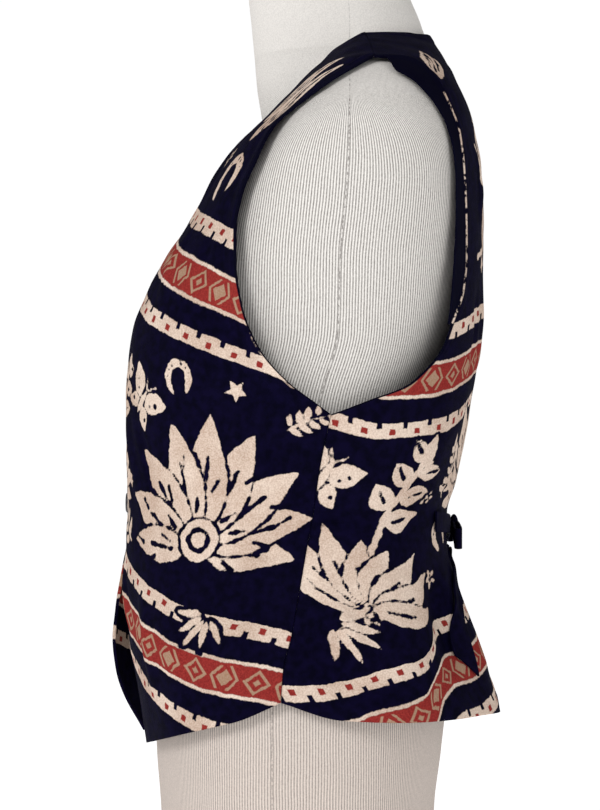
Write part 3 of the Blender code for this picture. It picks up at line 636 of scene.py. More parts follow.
MOTIF_SHAPES = {            # how it is drawn, its reach
    "agave": (agave, 66.0),
    "cactus": (cactus, 70.0),
    "yucca": (yucca, 68.0),
    "horseshoe": (horseshoe, 26.0),
    "sprig": (sprig, 48.0),
    "fan": (fan, 40.0),
    "butterfly": (butterfly, 32.0),
    "plume": (plume, 44.0),
    "star": (star, 14.0),
    "blossom": (blossom, 12.0),
    "dots": (dots, 12.0),
}
FRONT_MOTIFS = (            # kind, place across and up the print, size, turn in degrees
    ("agave", 180.0, -40.0, 1.46, 10.0),
    ("yucca", 56.0, 6.0, 1.05, -8.0),
    ("sprig", 230.0, 72.0, 0.62, 38.0),
    ("horseshoe", 132.0, 70.0, 0.66, 24.0),
    ("star", 178.0, 76.0, 0.95, 10.0),
    ("butterfly", 98.0, 40.0, 0.95, -28.0),
    ("dots", 258.0, 26.0, 0.9, 0.0),
    ("star", 92.0, -22.0, 0.75, 20.0),
    ("fan", 208.0, -82.0, 0.76, 165.0),
    ("sprig", 80.0, -54.0, 0.85, 150.0),
    ("horseshoe", 20.0, -56.0, 0.9, -20.0),
    ("star", 268.0, -14.0, 0.8, 0.0),
    ("plume", 64.0, 258.0, 0.9, -16.0),
    ("plume", 46.0, 270.0, 0.8, -16.0),
    ("horseshoe", 66.0, 202.0, 0.86, 26.0),
    ("blossom", 26.0, 214.0, 0.8, 0.0),
    ("plume", 196.0, 262.0, 0.9, 14.0),
    ("horseshoe", 176.0, 204.0, 0.86, -30.0),
    ("cactus", -40.0, -20.0, 0.9, 10.0),
)
BACK_MOTIFS = (
    ("yucca", 172.0, -72.0, 1.5, 32.0),
    ("agave", 30.0, -62.0, 1.3, 0.0),
    ("star", 136.0, -12.0, 0.95, 12.0),
    ("sprig", 92.0, -34.0, 0.8, 96.0),
    ("dots", 128.0, -50.0, 0.95, 0.0),
    ("dots", 206.0, -128.0, 1.1, 20.0),
    ("fan", 236.0, -126.0, 0.95, 150.0),
    ("blossom", 128.0, -132.0, 1.0, 0.0),
    ("horseshoe", 250.0, -76.0, 0.8, 20.0),
    ("butterfly", 214.0, -26.0, 1.05, 24.0),
    ("horseshoe", 100.0, -96.0, 0.85, -25.0),
    ("cactus", 40.0, 170.0, 0.9, 6.0),
    ("plume", 78.0, 282.0, 0.78, 42.0),
    ("butterfly", -84.0, 184.0, 1.15, -20.0),
    ("sprig", -100.0, 232.0, 0.8, -56.0),
    ("star", -52.0, 122.0, 0.9, 0.0),
    ("cactus", -98.0, -68.0, 1.0, 6.0),
    ("horseshoe", -46.0, -46.0, 0.8, 10.0),
    ("agave", -196.0, -80.0, 1.2, -12.0),
    ("fan", -150.0, -140.0, 0.8, 168.0),
    ("star", -160.0, -8.0, 0.95, 0.0),
    ("star", 60.0, 118.0, 0.9, 0.0),
)


def drawn(u, v, motifs):
    """Distance in millimetres to the drawn motifs, held to a small range."""
    result = np.full(u.shape, MOTIF_RANGE)
    for kind, at_u, at_v, size, turn in motifs:
        shape, reach = MOTIF_SHAPES[kind]
        near = (np.abs(u - at_u) < reach * size) & (np.abs(v - at_v) < reach * size)
        if not near.any():
            continue
        x, y = turned(u[near] - at_u, v[near] - at_v, turn)
        result[near] = np.minimum(result[near], size * shape(x / size, y / size))
    return np.clip(result, -MOTIF_RANGE, MOTIF_RANGE)


# Small folds that the solids leave out, by lengths on the cloth in millimetres: s from the centre line, m up
FRONT_CREASES = (           # start s, start m, end s, end m, half width, depth
    (150.0, -98.0, 232.0, -104.0, 7.0, -1.1),
    (160.0, -112.0, 228.0, -118.0, 6.0, 0.9),
    (120.0, -88.0, 178.0, -92.0, 6.0, 0.7),
    (205.0, 10.0, 176.0, -52.0, 11.0, 1.2),
    (228.0, -4.0, 205.0, -70.0, 8.0, -0.9),
    (64.0, 20.0, 96.0, -70.0, 12.0, 1.0),
    (88.0, 10.0, 122.0, -76.0, 9.0, -0.8),
    (40.0, -90.0, 74.0, -180.0, 10.0, 1.2),
    (100.0, -120.0, 116.0, -215.0, 13.0, 1.3),
    (150.0, -130.0, 158.0, -215.0, 11.0, -1.0),
    (190.0, -125.0, 200.0, -205.0, 12.0, 1.0),
    (96.0, 150.0, 128.0, 60.0, 12.0, 1.0),
    (140.0, 140.0, 168.0, 70.0, 9.0, -0.7),
    (60.0, 230.0, 90.0, 140.0, 10.0, 0.8),
)
BACK_CREASES = (
    (226.0, -66.0, 150.0, -84.0, 8.0, -1.1),
    (222.0, -80.0, 160.0, -96.0, 6.0, 0.9),
    (228.0, -50.0, 176.0, -58.0, 7.0, 0.7),
    (150.0, -60.0, 96.0, -92.0, 8.0, 0.9),
    (120.0, -40.0, 60.0, -78.0, 8.0, -0.8),
    (196.0, -110.0, 212.0, -205.0, 12.0, 1.2),
    (236.0, -120.0, 244.0, -200.0, 10.0, -0.9),
    (60.0, -100.0, 66.0, -205.0, 13.0, 1.3),
    (24.0, -96.0, 20.0, -200.0, 12.0, -1.0),
    (96.0, 100.0, 90.0, 20.0, 10.0, -0.9),
    (70.0, 120.0, 58.0, 0.0, 12.0, 0.9),
    (30.0, 160.0, 34.0, 30.0, 14.0, -0.8),
    (110.0, 200.0, 84.0, 120.0, 10.0, 0.9),
)
CREASE_SHARE = 2.5          # all small folds are this much deeper than their tables say
RIPPLES = 14                # waves that make up the cloth's unevenness
RIPPLE_LENGTHS = (22.0, 60.0)
RIPPLE_DEPTH = 0.075


def creases(s, m, table):
    """Height in metres of the small folds at places on the cloth."""
    total = np.zeros_like(s)
    for s1, m1, s2, m2, half_width, depth in table:
        length = math.hypot(s2 - s1, m2 - m1)
        share = ((s - s1) * (s2 - s1) + (m - m1) * (m2 - m1)) / length**2
        off = ((s - s1) * (m2 - m1) - (m - m1) * (s2 - s1)) / length
        wave = off + 2.2 * np.sin(share * 5.0 + s1)
        total = total + depth * bell(wave / half_width) * bell(np.clip(2 * share - 1, -1, 1))
    return CREASE_SHARE * total / MM


def ripple(s, m, seed):
    """Soft unevenness of washed cotton, in metres."""
    rng = np.random.default_rng(seed)
    total = np.zeros_like(s)
    for _ in range(RIPPLES):
        length = rng.uniform(*RIPPLE_LENGTHS)
        turn = rng.uniform(0.0, math.pi)
        phase = rng.uniform(0.0, 2 * math.pi)
        total = total + np.sin(2 * math.pi * (s * math.cos(turn) + m * math.sin(turn)) / length + phase)
    return total * RIPPLE_DEPTH / MM


def make_mesh(name, points, faces, attributes, uv, material):
    mesh = bpy.data.meshes.new(name)
    mesh.from_pydata(points.reshape(-1, 3).tolist(), [], faces)
    for key, values in attributes.items():
        layer = mesh.attributes.new(key, "FLOAT", "POINT")
        layer.data.foreach_set("value", np.asarray(values, dtype=np.float32).ravel())
    corner_vertex = np.zeros(len(mesh.loops), dtype=np.int32)
    mesh.loops.foreach_get("vertex_index", corner_vertex)
    layer = mesh.uv_layers.new(name="OFBake")
    layer.data.foreach_set("uv", uv.reshape(-1, 2)[corner_vertex].astype(np.float32).ravel())
    mesh.shade_smooth()
    mesh.materials.append(material)
    made = bpy.data.objects.new(name, mesh)
    bpy.context.scene.collection.objects.link(made)
    return made


def grid_faces(rows, columns, flip=False, first=0):
    r, c = np.meshgrid(np.arange(rows - 1), np.arange(columns - 1), indexing="ij")
    a = (first + r * columns + c).ravel()
    square = np.stack((a, a + 1, a + columns + 1, a + columns), axis=1)
    if flip:
        square = square[:, ::-1]
    return square.tolist()


def grid_uv(box, rows, columns):
    low_u, high_u, low_v, high_v = box
    v, u = np.meshgrid(np.linspace(high_v, low_v, rows), np.linspace(low_u, high_u, columns), indexing="ij")
    return np.stack((u, v), axis=-1).reshape(-1, 2)


def ring_corners(rings, sides):
    """The corners between closed rings of points: two on one ring, then two on the next."""
    for r in range(rings - 1):
        for c in range(sides):
            a = r * sides + c
            b = r * sides + (c + 1) % sides
            yield a, b, a + sides, b + sides


def weld(made, distance, at_centre=True, same_way=False):
    """Joins points that lie together, on the centre plane or everywhere."""
    shape = bmesh.new()
    shape.from_mesh(made.data)
    near = [vertex for vertex in shape.verts if not at_centre or abs(vertex.co.x) < CENTRE_REACH]
    bmesh.ops.remove_doubles(shape, verts=near, dist=distance)
    if same_way:
        bmesh.ops.recalc_face_normals(shape, faces=shape.faces)
    shape.to_mesh(made.data)
    shape.free()


def stand_for(made, node):
    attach(made, "root")
    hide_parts(node)


CENTRE_REACH = 1e-6
RIM_STEPS = 2               # rows by which an outer face turns in at its edge


def rimmed(count, high, steps):
    """Fractional places 0 to high, with extra ones at both ends for the edge that turns in."""
    inner = np.linspace(0.0, high, count)
    extra = np.linspace(0.0, 1.0, steps + 1)[1:]
    places = np.concatenate((np.zeros(steps), inner, np.full(steps, high)))
    return places, np.concatenate((extra[::-1], np.zeros(count), extra))


def linear(red, green, blue):
    """A colour as the screen shows it, turned into the renderer's numbers."""
    shares = [part / 255 for part in (red, green, blue)]
    return tuple(share / 12.92 if share < 0.0404 else ((share + 0.055) / 1.055) ** 2.4 for share in shares)


NAVY = linear(9, 6, 33)
INK = linear(4, 3, 19)
CREAM = linear(222, 204, 189)
CREAM_DARK = linear(184, 159, 142)
RED = linear(148, 51, 46)
RED_DARK = linear(120, 37, 36)
TAUPE = linear(152, 119, 95)
LINING = linear(7, 7, 24)
JERSEY = linear(236, 232, 227)
JERSEY_LOW = linear(222, 209, 200)
JERSEY_LINE = linear(92, 87, 84)
SEAM_LINE = linear(104, 98, 95)
BUTTON_DARK = linear(20, 19, 30)
BUTTON_LIGHT = linear(38, 34, 44)


class Nodes:
    """Adds nodes to a new material. Inputs are sockets, numbers or colours."""

    def __init__(self, name):
        self.material = bpy.data.materials.new(name)
        self.material.use_nodes = True
        self.tree = self.material.node_tree
        self.shader = self.tree.nodes["Principled BSDF"]

    def plug(self, socket, value):
        if isinstance(value, bpy.types.NodeSocket):
            self.tree.links.new(value, socket)
        elif isinstance(value, tuple) and socket.type == "RGBA":
            socket.default_value = (*value, 1.0)
        else:
            socket.default_value = value

    def attribute(self, name):
        node = self.tree.nodes.new("ShaderNodeAttribute")
        node.attribute_name = name
        return node.outputs["Fac"]

    def math(self, kind, *inputs):
        node = self.tree.nodes.new("ShaderNodeMath")
        node.operation = kind
        for socket, value in zip(node.inputs, inputs):
            self.plug(socket, value)
        return node.outputs[0]

    def add(self, *values):
        total = values[0]
        for value in values[1:]:
            total = self.math("ADD", total, value)
        return total

    def times(self, *values):
        product = values[0]
        for value in values[1:]:
            product = self.math("MULTIPLY", product, value)
        return product

    def minus(self, first, second):
        return self.math("SUBTRACT", first, second)

    def most(self, first, second):
        return self.math("MAXIMUM", first, second)

    def from_middle(self, value, period):
        """Distance to the middle of the period that a value lies in."""
        return self.math("ABSOLUTE", self.minus(self.math("FLOORED_MODULO", value, period), period / 2))

    def mix(self, share, low, high, kind="MIX"):
        node = self.tree.nodes.new("ShaderNodeMix")
        node.data_type = "RGBA"
        node.blend_type = kind
        self.plug(node.inputs[0], share)
        self.plug(node.inputs[6], low)
        self.plug(node.inputs[7], high)
        return node.outputs[2]

    def place(self):
        return self.tree.nodes.new("ShaderNodeTexCoord").outputs["Object"]

    def noise(self, scale, detail=2.0, where=None):
        node = self.tree.nodes.new("ShaderNodeTexNoise")
        self.plug(node.inputs["Vector"], where if where is not None else self.place())
        node.inputs["Scale"].default_value = scale
        node.inputs["Detail"].default_value = detail
        return node.outputs["Fac"]

    def uneven(self, scale, detail, where, most):
        """Noise that runs from minus most to most."""
        return self.spread(self.noise(scale, detail, where), 0.2, 0.8, -most, most)

    def spread(self, value, from_low, from_high, to_low=0.0, to_high=1.0):
        node = self.tree.nodes.new("ShaderNodeMapRange")
        for socket, number in zip(node.inputs, (value, from_low, from_high, to_low, to_high)):
            self.plug(socket, number)
        return node.outputs[0]

    def inside(self, distance, soft=0.3):
        """One where a distance is below zero, with a soft edge."""
        return self.spread(distance, soft, -soft)

    def between(self, value, low, high, soft=0.3):
        return self.inside(self.most(self.minus(low, value), self.minus(value, high)), soft)

    def bump(self, height, strength, distance):
        node = self.tree.nodes.new("ShaderNodeBump")
        self.plug(node.inputs["Height"], height)
        node.inputs["Strength"].default_value = strength
        node.inputs["Distance"].default_value = distance
        self.plug(self.shader.inputs["Normal"], node.outputs["Normal"])

    def finish(self, colour, roughness, specular=0.5):
        self.plug(self.shader.inputs["Base Color"], colour)
        self.plug(self.shader.inputs["Roughness"], roughness)
        self.shader.inputs["Specular IOR Level"].default_value = specular
        return self.material


# The band group, in millimetres down from its top edge
BORDER_WIDTH = 11.0
TOOTH_PERIOD = 20.0
TOOTH_GAP = 3.6
TOOTH_DEPTH = 4.2
SQUARE_HALF = 2.3
SQUARE_DOWN = (2.4, 6.6)
EDGE_SOFT = 0.3
RED_BAND = (28.4, 48.6)
CREAM_LINES = ((26.0, 28.4), (48.6, 51.0))
LOWER_BORDER_END = 79.0
FIGURE_PERIOD = 47.0
LARGE_LOZENGE = (10.5, 9.0)     # half its length, half its height
SMALL_LOZENGE = (6.5, 6.0)
RING = (0.68, 0.96)             # shares of the large lozenge
HEART = 0.28
STROKE = (8.6, 10.9)
STROKE_SLANT = 0.72
STROKE_REACH = 8.0
MOTIF_HALO = 3.2                # plain ground kept around a motif that meets a border
WOBBLE = 0.9                    # how far the print's outlines stray, coarsely and finely
FINE_WOBBLE = 0.45
THREAD_PERIOD = 0.85


def border(n, down, across):
    """Cream band with a smooth edge at zero, notches at its other edge and small red squares."""
    tooth = n.from_middle(across, TOOTH_PERIOD)
    notch = TOOTH_PERIOD / 2 - TOOTH_GAP / 2
    bottom = BORDER_WIDTH - TOOTH_DEPTH
    gap = n.times(n.spread(tooth, notch - EDGE_SOFT, notch + EDGE_SOFT),
                  n.spread(down, bottom - EDGE_SOFT, bottom + EDGE_SOFT))
    square = n.times(n.inside(n.minus(tooth, SQUARE_HALF)), n.between(down, *SQUARE_DOWN))
    return n.minus(n.between(down, 0.0, BORDER_WIDTH), gap), square


def figures(n, down, across):
    """Ringed and filled lozenges with slanted strokes between them, along the red band's middle."""
    aside = n.from_middle(across, FIGURE_PERIOD)
    up = n.math("ABSOLUTE", n.minus(down, sum(RED_BAND) / 2))
    large = n.add(n.math("DIVIDE", aside, LARGE_LOZENGE[0]), n.math("DIVIDE", up, LARGE_LOZENGE[1]))
    ringed = n.most(n.between(large, *RING, 0.04), n.inside(n.minus(large, HEART), 0.05))
    from_end = n.minus(FIGURE_PERIOD / 2, aside)
    small = n.add(n.math("DIVIDE", from_end, SMALL_LOZENGE[0]), n.math("DIVIDE", up, SMALL_LOZENGE[1]))
    slant = n.add(from_end, n.times(up, STROKE_SLANT))
    strokes = n.times(n.between(slant, *STROKE), n.inside(n.minus(up, STROKE_REACH)))
    return n.most(ringed, n.most(n.inside(n.minus(small, 1.0), 0.05), strokes))


def cloth_material():
    n = Nodes("printed_cotton")
    place = n.place()
    fine = n.uneven(420.0, 2.0, place, FINE_WOBBLE)
    wobble = n.add(n.uneven(70.0, 3.0, place, WOBBLE), fine)
    across = n.add(n.attribute("print_u"), wobble)
    down = n.math("FLOORED_MODULO", n.add(n.attribute("print_down"), wobble), PERIOD)

    speckle = n.noise(900.0, 1.0, place)
    patch = n.noise(24.0, 3.0, place)
    worn = n.add(n.spread(speckle, 0.35, 0.65, 0.0, 0.6), n.spread(patch, 0.35, 0.65, -0.1, 0.55))
    cream = n.mix(worn, CREAM, CREAM_DARK)
    navy = n.mix(n.spread(n.noise(160.0, 4.0, place), 0.35, 0.65), NAVY, INK)
    red = n.mix(n.spread(speckle, 0.3, 0.7), RED, RED_DARK)
    taupe = n.mix(n.spread(speckle, 0.3, 0.7, 0.0, 0.35), TAUPE, CREAM_DARK)

    on_red = n.between(down, *RED_BAND)
    colour = n.mix(on_red, navy, n.mix(figures(n, down, across), red, taupe))
    for low, high in CREAM_LINES:
        colour = n.mix(n.between(down, low, high, 0.35), colour, cream)
    for start in (down, n.minus(LOWER_BORDER_END, down)):
        teeth, squares = border(n, start, across)
        colour = n.mix(teeth, colour, cream)
        colour = n.mix(squares, colour, red)

    rough = n.spread(n.noise(125.0, 3.0, place), 0.3, 0.7, -0.95, 0.95)
    from_motif = n.add(n.attribute("motif"), fine, rough)
    around = n.times(n.inside(n.minus(from_motif, MOTIF_HALO)), n.minus(1.0, on_red))
    colour = n.mix(around, colour, navy)
    colour = n.mix(n.inside(from_motif, 0.35), colour, cream)

    lined = n.inside(n.times(n.attribute("lined"), -1.0), 0.25)
    colour = n.mix(lined, colour, n.mix(n.spread(patch, 0.3, 0.7), LINING, INK))
    broken = n.spread(n.noise(260.0, 2.0, place), 0.42, 0.52)
    colour = n.mix(n.times(n.inside(n.attribute("trim"), 0.35), broken), colour, cream)

    thread = 2 * math.pi / THREAD_PERIOD
    warp = n.math("SINE", n.times(n.attribute("print_u"), thread))
    weft = n.math("SINE", n.times(n.attribute("print_down"), thread))
    n.bump(n.add(n.times(warp, weft), n.times(speckle, 1.4)), 0.35, 0.00022)
    return n.finish(colour, n.spread(patch, 0.3, 0.7, 0.82, 0.93), 0.03)


RIB_PITCH = 2.05            # millimetres
RIB_WOBBLE = 0.5


def jersey_material():
    n = Nodes("form_jersey")
    place = n.place()
    rib = n.add(n.attribute("rib"), n.uneven(30.0, 2.0, place, RIB_WOBBLE))
    share = n.math("ABSOLUTE", n.minus(n.math("FRACT", n.math("DIVIDE", rib, RIB_PITCH)), 0.5))
    line = n.spread(share, 0.43, 0.0)
    broken = n.spread(n.noise(700.0, 1.0, place), 0.3, 0.7, 0.72, 1.0)
    contrast = n.attribute("contrast")
    grain = n.noise(1100.0, 1.0, place)
    colour = n.mix(n.attribute("low"), JERSEY, JERSEY_LOW)
    colour = n.mix(n.spread(grain, 0.35, 0.7, 0.0, 0.16), colour, JERSEY_LINE)
    colour = n.mix(n.times(line, broken, contrast), colour, JERSEY_LINE)
    seam = n.inside(n.minus(n.math("ABSOLUTE", n.attribute("seam")), 0.40), 0.3)
    stitched = n.spread(n.noise(420.0, 1.0, place), 0.42, 0.56, 0.15, 0.85)
    colour = n.mix(n.times(seam, stitched, contrast), colour, SEAM_LINE)
    n.bump(n.minus(n.times(grain, 0.5), line), 0.4, 0.0004)
    return n.finish(colour, n.spread(grain, 0.3, 0.7, 0.86, 0.96), 0.1)


def button_material():
    n = Nodes("button")
    place = n.place()
    swirl = n.noise(140.0, 3.0, place)
    colour = n.mix(n.spread(swirl, 0.35, 0.65), BUTTON_DARK, BUTTON_LIGHT)
    n.bump(n.noise(900.0, 1.0, place), 0.08, 0.0002)
    return n.finish(colour, n.spread(swirl, 0.3, 0.7, 0.24, 0.38), 0.5)


FLOOR_GLOW = 0.62           # lifts the pale floor to the white of the surround


def floor_material():
    n = Nodes("pale_floor")
    grain = n.noise(9.0, 3.0)
    n.shader.inputs["Emission Color"].default_value = (1.0, 1.0, 1.0, 1.0)
    n.shader.inputs["Emission Strength"].default_value = FLOOR_GLOW
    return n.finish(n.mix(grain, (0.93, 0.93, 0.93), (0.96, 0.96, 0.96)), 0.9, 0.1)


def form_radius(angle, height):
    """The form's body and neck, run into each other."""
    angle, height = np.broadcast_arrays(np.asarray(angle, float), np.asarray(height, float))
    angle = np.where(angle > math.pi, angle - 2 * math.pi, angle)
    centre = axis_depth(height)
    body = np.where(height < BODY_TO, section_radius(FORM(height), angle, centre), 0.0)
    neck = np.where(height > NECK_FROM, section_radius(NECK(height), angle, centre), 0.0)
    both = (body + neck + np.sqrt((body - neck) ** 2 + FORM_BLEND**2)) / 2
    return np.where(body * neck > 0, both, np.maximum(body, neck))


def distance_to(points, line):
    """Distances in millimetres from points to the nearest of a line's points."""
    tree = mathutils.kdtree.KDTree(len(line))
    for number, place in enumerate(line):
        tree.insert(place, number)
    tree.balance()
    flat = points.reshape(-1, 3).tolist()
    return MM * np.array([tree.find(place)[2] for place in flat]).reshape(points.shape[:-1])


FORM_CLEARANCE = 0.0007

# How seams and edges shape the cloth, in millimetres. A fade is from where to where a share rises to one
SEAM_FADE = (0.0, 10.0)     # the small folds, off a seam
SEAM_DIP = 0.55
SEAM_DIP_REACH = 1.5
SEAM_PUCKER = 0.38
SEAM_PUCKER_REACH = 5.0
PUCKER_WAVES = (2.3, 1.37, 19.0)
EDGE_RISE = 0.35            # the doubled cloth along an edge
EDGE_FADE = (4.5, 6.5)
HEM_SHARE = 0.5             # a hem is doubled twice as wide
HOLE_RISE = 4.2             # how far the front's armhole edge stands off the form
HOLE_FADE = (0.0, 16.0)
HOLE_SEAM_FADE = (2.0, 26.0)
CENTRE_FADE = (0.0, 12.0)   # the back's small folds, off its centre
BACK_STRIP = 0.7            # width of the lining that rolls out on the back armhole
TRIM_PLACE = 1.2            # light thread beside the armhole, from the edge
TRIM_HALF = 0.35

# In metres
HOLE_TOP_FADE = (0.60, 0.56)
TIE_ZONE = (0.165, 0.318, 0.118)        # from height, to height, half width
TIE_ZONE_RISE = 0.0006
FLAT_ABOVE = 0.27           # above this height the cloth is even beside the centre, under buttons and knot
FLAT_FRONT = (0.014, 0.045)


def relief(points, s, m, table, seed, to_seam, to_edge):
    """Small folds, ripples, seam dips and edges, in metres outwards."""
    off_seam = smooth_step(*SEAM_FADE, to_seam)
    aside = np.abs(points[..., 0]) + 10 * (points[..., 2] < FLAT_ABOVE)
    soft = ripple(s, m, seed) * smooth_step(*FLAT_FRONT, aside)
    total = (creases(s, m, table) + soft) * off_seam
    long_wave, short_wave, drift = PUCKER_WAVES
    pucker = np.sin(m / long_wave + 1.7 * np.sin(m / drift)) + 0.6 * np.sin(m / short_wave)
    dip = SEAM_DIP * np.exp(-(to_seam / SEAM_DIP_REACH) ** 2)
    total = total + (SEAM_PUCKER * pucker * np.exp(-to_seam / SEAM_PUCKER_REACH) - dip) / MM
    return total + EDGE_RISE / MM * (1 - smooth_step(*EDGE_FADE, to_edge))


def held_clear(points, lift):
    """Lifts the outer face where its lining would come too near the form."""
    angle = np.arctan2(points[..., 1] - axis_depth(points[..., 2]), points[..., 0])
    radius = np.hypot(points[..., 0], points[..., 1] - axis_depth(points[..., 2]))
    least = form_radius(angle, points[..., 2]) + WALL + FORM_CLEARANCE - radius
    return np.maximum(lift, np.where(points[..., 2] < BODY_TO, least, lift))


STRIP_WIDTH = Curve((       # height, width of the lining that rolls out on the front armhole
    (0.37, 0.6), (0.46, 0.8), (0.5, 1.6), (0.55, 1.6), (0.6, 1.2), (0.63, 1.0),
))
SELF_FACING = 48.0          # width of the front's own cloth inside its edge, in millimetres
MIRROR_SHIFT = 9.0          # millimetres, so that the two sides' small folds differ
TRIM_HEIGHTS = (0.395, 0.435)
KINDS = {                   # top of a band group, motifs, small folds, seed
    "front": (FRONT_TOP, FRONT_MOTIFS, FRONT_CREASES, 11),
    "back": (BACK_TOP, BACK_MOTIFS, BACK_CREASES, 23),
}


def panel_grid(kind, lower_edge, count_rows, count_columns, rim_steps):
    """Fractional rows, angles, heights and how far each point is turned in, on the wearer's left."""
    rows, row_depth = rimmed(count_rows, ROWS, rim_steps)
    shares, column_depth = rimmed(count_columns, 1.0, rim_steps)
    half_gap = SEAM_GAP / 2
    depth = np.maximum(row_depth[:, None], column_depth[None, :])
    if kind == "front":
        inner = front_inner_edge(lower_edge, -half_gap, rows)
        outer = outer_edge(ARMHOLE_FRONT, -half_gap, rows)
        angle, height = panel_places(inner, outer, FRONT_HEM, NECK_ROWS_FRONT, rows, shares)
    else:
        inner = back_inner_edge(half_gap, rows)
        outer = outer_edge(ARMHOLE_BACK, half_gap, rows)
        angle, height = panel_places(inner, outer, BACK_HEM, NECK_ROWS_BACK, rows, shares)
        no_rim = (rows[:, None] >= NECK_ROWS_BACK) & (shares[None, :] <= 0)
        depth = np.where(no_rim, row_depth[:, None], depth)
    return rows, angle, height, depth


def panel_half(kind, on_right, lower_edge, count_rows, count_columns, inside):
    """Points, and values for the print, of one panel or half panel."""
    front = kind == "front"
    top, motifs, table, seed = KINDS[kind]
    rim_steps = 0 if inside else RIM_STEPS
    rows, angle, height, depth = panel_grid(kind, lower_edge, count_rows, count_columns, rim_steps)
    real = (-math.pi - angle if front else math.pi - angle) if on_right else angle
    points = cloth_at(real, height)
    normals = outward(real, height)
    if front and on_right:
        rise = LAP_RAISE * smooth_step(-LAP_START, -LAP_FULL, points[..., 0])
        points = points + rise[..., None] * normals
    s = LENGTHS.read(LENGTHS.from_front if front else LENGTHS.from_back, angle, height)
    m = LENGTHS.read(LENGTHS.upward, angle, height)
    u, v = front_print(s, m) if front else back_print(s, m)
    turned_u = RIGHT_TURN - u if front else -u
    motif = drawn(turned_u if on_right else u, v, motifs)

    on_hole = rows < ARMHOLE_ROWS
    to_hole = distance_to(points, points[on_hole][:, -1])
    to_seam = distance_to(points, points[~on_hole][:, -1])
    to_hem = distance_to(points, points[-1])
    to_start = distance_to(points, points[:, 0] if front else points[rows <= NECK_ROWS_BACK][:, 0])
    to_edge = np.minimum(np.minimum(to_hole, to_hem * HEM_SHARE), to_start)
    shifted = s + (MIRROR_SHIFT if on_right else 0.0)
    lift = relief(points, shifted, m, table, seed + on_right, to_seam, to_edge)
    if front:
        off = (1 - smooth_step(*HOLE_FADE, to_hole)) * smooth_step(*HOLE_SEAM_FADE, to_seam)
        lift = lift + HOLE_RISE / MM * off * smooth_step(*HOLE_TOP_FADE, height)
    else:
        low, high, half = TIE_ZONE
        zone = (points[..., 2] > low) & (points[..., 2] < high) & (np.abs(points[..., 0]) < half)
        lift = np.where(zone, np.minimum(lift, TIE_ZONE_RISE), lift)
        lift = lift * smooth_step(*CENTRE_FADE, s)
    lift = held_clear(points, lift)
    sunk = WALL if inside else depth * WALL
    placed = points + (lift - sunk)[..., None] * normals

    nowhere = np.full(u.shape, FAR)
    trim = nowhere
    if inside:
        lined = to_start - SELF_FACING if front else nowhere
    else:
        lined = (STRIP_WIDTH(height)[..., 0] if front else BACK_STRIP) - to_hole
        lined = np.where((depth > 0) & (to_hole < 1.0), FAR, lined)
        if front:
            shown = (height > TRIM_HEIGHTS[0]) & (height < TRIM_HEIGHTS[1])
            trim = np.where(shown, np.abs(to_hole - TRIM_PLACE) - TRIM_HALF, FAR)
    down = np.maximum(top - v, PLAIN_DOWN - PERIOD)
    return placed, {"print_u": u, "print_down": down, "motif": motif, "lined": lined, "trim": trim}

def cloth_panel(name, node, halves, material, inside):
    """One face of a panel: the fine outer one with a turned-in edge, or the coarser one inside it."""
    points = []
    faces = []
    uvs = []
    values = {}
    first = 0
    share = INSIDE_SHARE if inside else 1
    width = 0.98 / len(halves)
    for number, (kind, on_right, lower_edge, count_rows, count_columns) in enumerate(halves):
        counts = (count_rows // share, count_columns // share)
        grid, given = panel_half(kind, on_right, lower_edge, *counts, inside)
        rows, columns = grid.shape[:2]
        outward_flip = (kind == "front") != on_right
        faces += grid_faces(rows, columns, outward_flip != inside, first)
        start = 0.01 + number * width
        uvs.append(grid_uv((start, start + width - 0.005, 0.01, 0.99), rows, columns))
        points.append(grid.reshape(-1, 3))
        for key, value in given.items():
            values.setdefault(key, []).append(value.ravel())
        first += rows * columns
    values = {key: np.concatenate(parts) for key, parts in values.items()}
    made = make_mesh(name, np.concatenate(points), faces, values, np.concatenate(uvs), material)
    if len(halves) > 1:
        weld(made, 2 * CENTRE_REACH)
    stand_for(made, node)
    return made


def wall_piece(name, node, outer, inner, values, material, on_right, flip):
    """A closed thin wall between two grids, for the small pieces of one side."""
    suffix = "_right" if on_right else "_left"
    rows, columns = outer.shape[:2]
    count = rows * columns
    faces = grid_faces(rows, columns, flip) + grid_faces(rows, columns, not flip, count)
    ring = [(0, c) for c in range(columns)] + [(r, columns - 1) for r in range(1, rows)]
    ring += [(rows - 1, c) for c in range(columns - 2, -1, -1)] + [(r, 0) for r in range(rows - 2, 0, -1)]
    numbers = [r * columns + c for r, c in ring]
    for here, there in zip(numbers, numbers[1:] + numbers[:1]):
        side = (here, count + here, count + there, there)
        faces.append(side[::-1] if flip else side)
    points = np.concatenate((outer.reshape(-1, 3), inner.reshape(-1, 3)))
    values = {key: np.concatenate((value.ravel(), value.ravel())) for key, value in values.items()}
    uv = np.concatenate((grid_uv((0.02, 0.48, 0.02, 0.98), rows, columns),
                         grid_uv((0.52, 0.98, 0.02, 0.98), rows, columns)))
    made = make_mesh(name + suffix, points, faces, values, uv, material)
    made.data.set_sharp_from_angle(angle=math.radians(60.0))
    stand_for(made, node + suffix)
    return made


def ribbon(name, node, outer, inner, values, material, on_right):
    return wall_piece(name, node, outer, inner, values, material, on_right,
                      flip=not on_right)


def plain_values(shape, lined, u=0.0):
    """Values for a small piece of plain navy, or of lining where lined is above zero."""
    full = np.ones(shape)
    return {
        "print_u": full * u,
        "print_down": full * PLAIN_DOWN,
        "motif": full * MOTIF_RANGE,
        "lined": full * lined,
        "trim": full * FAR,
    }


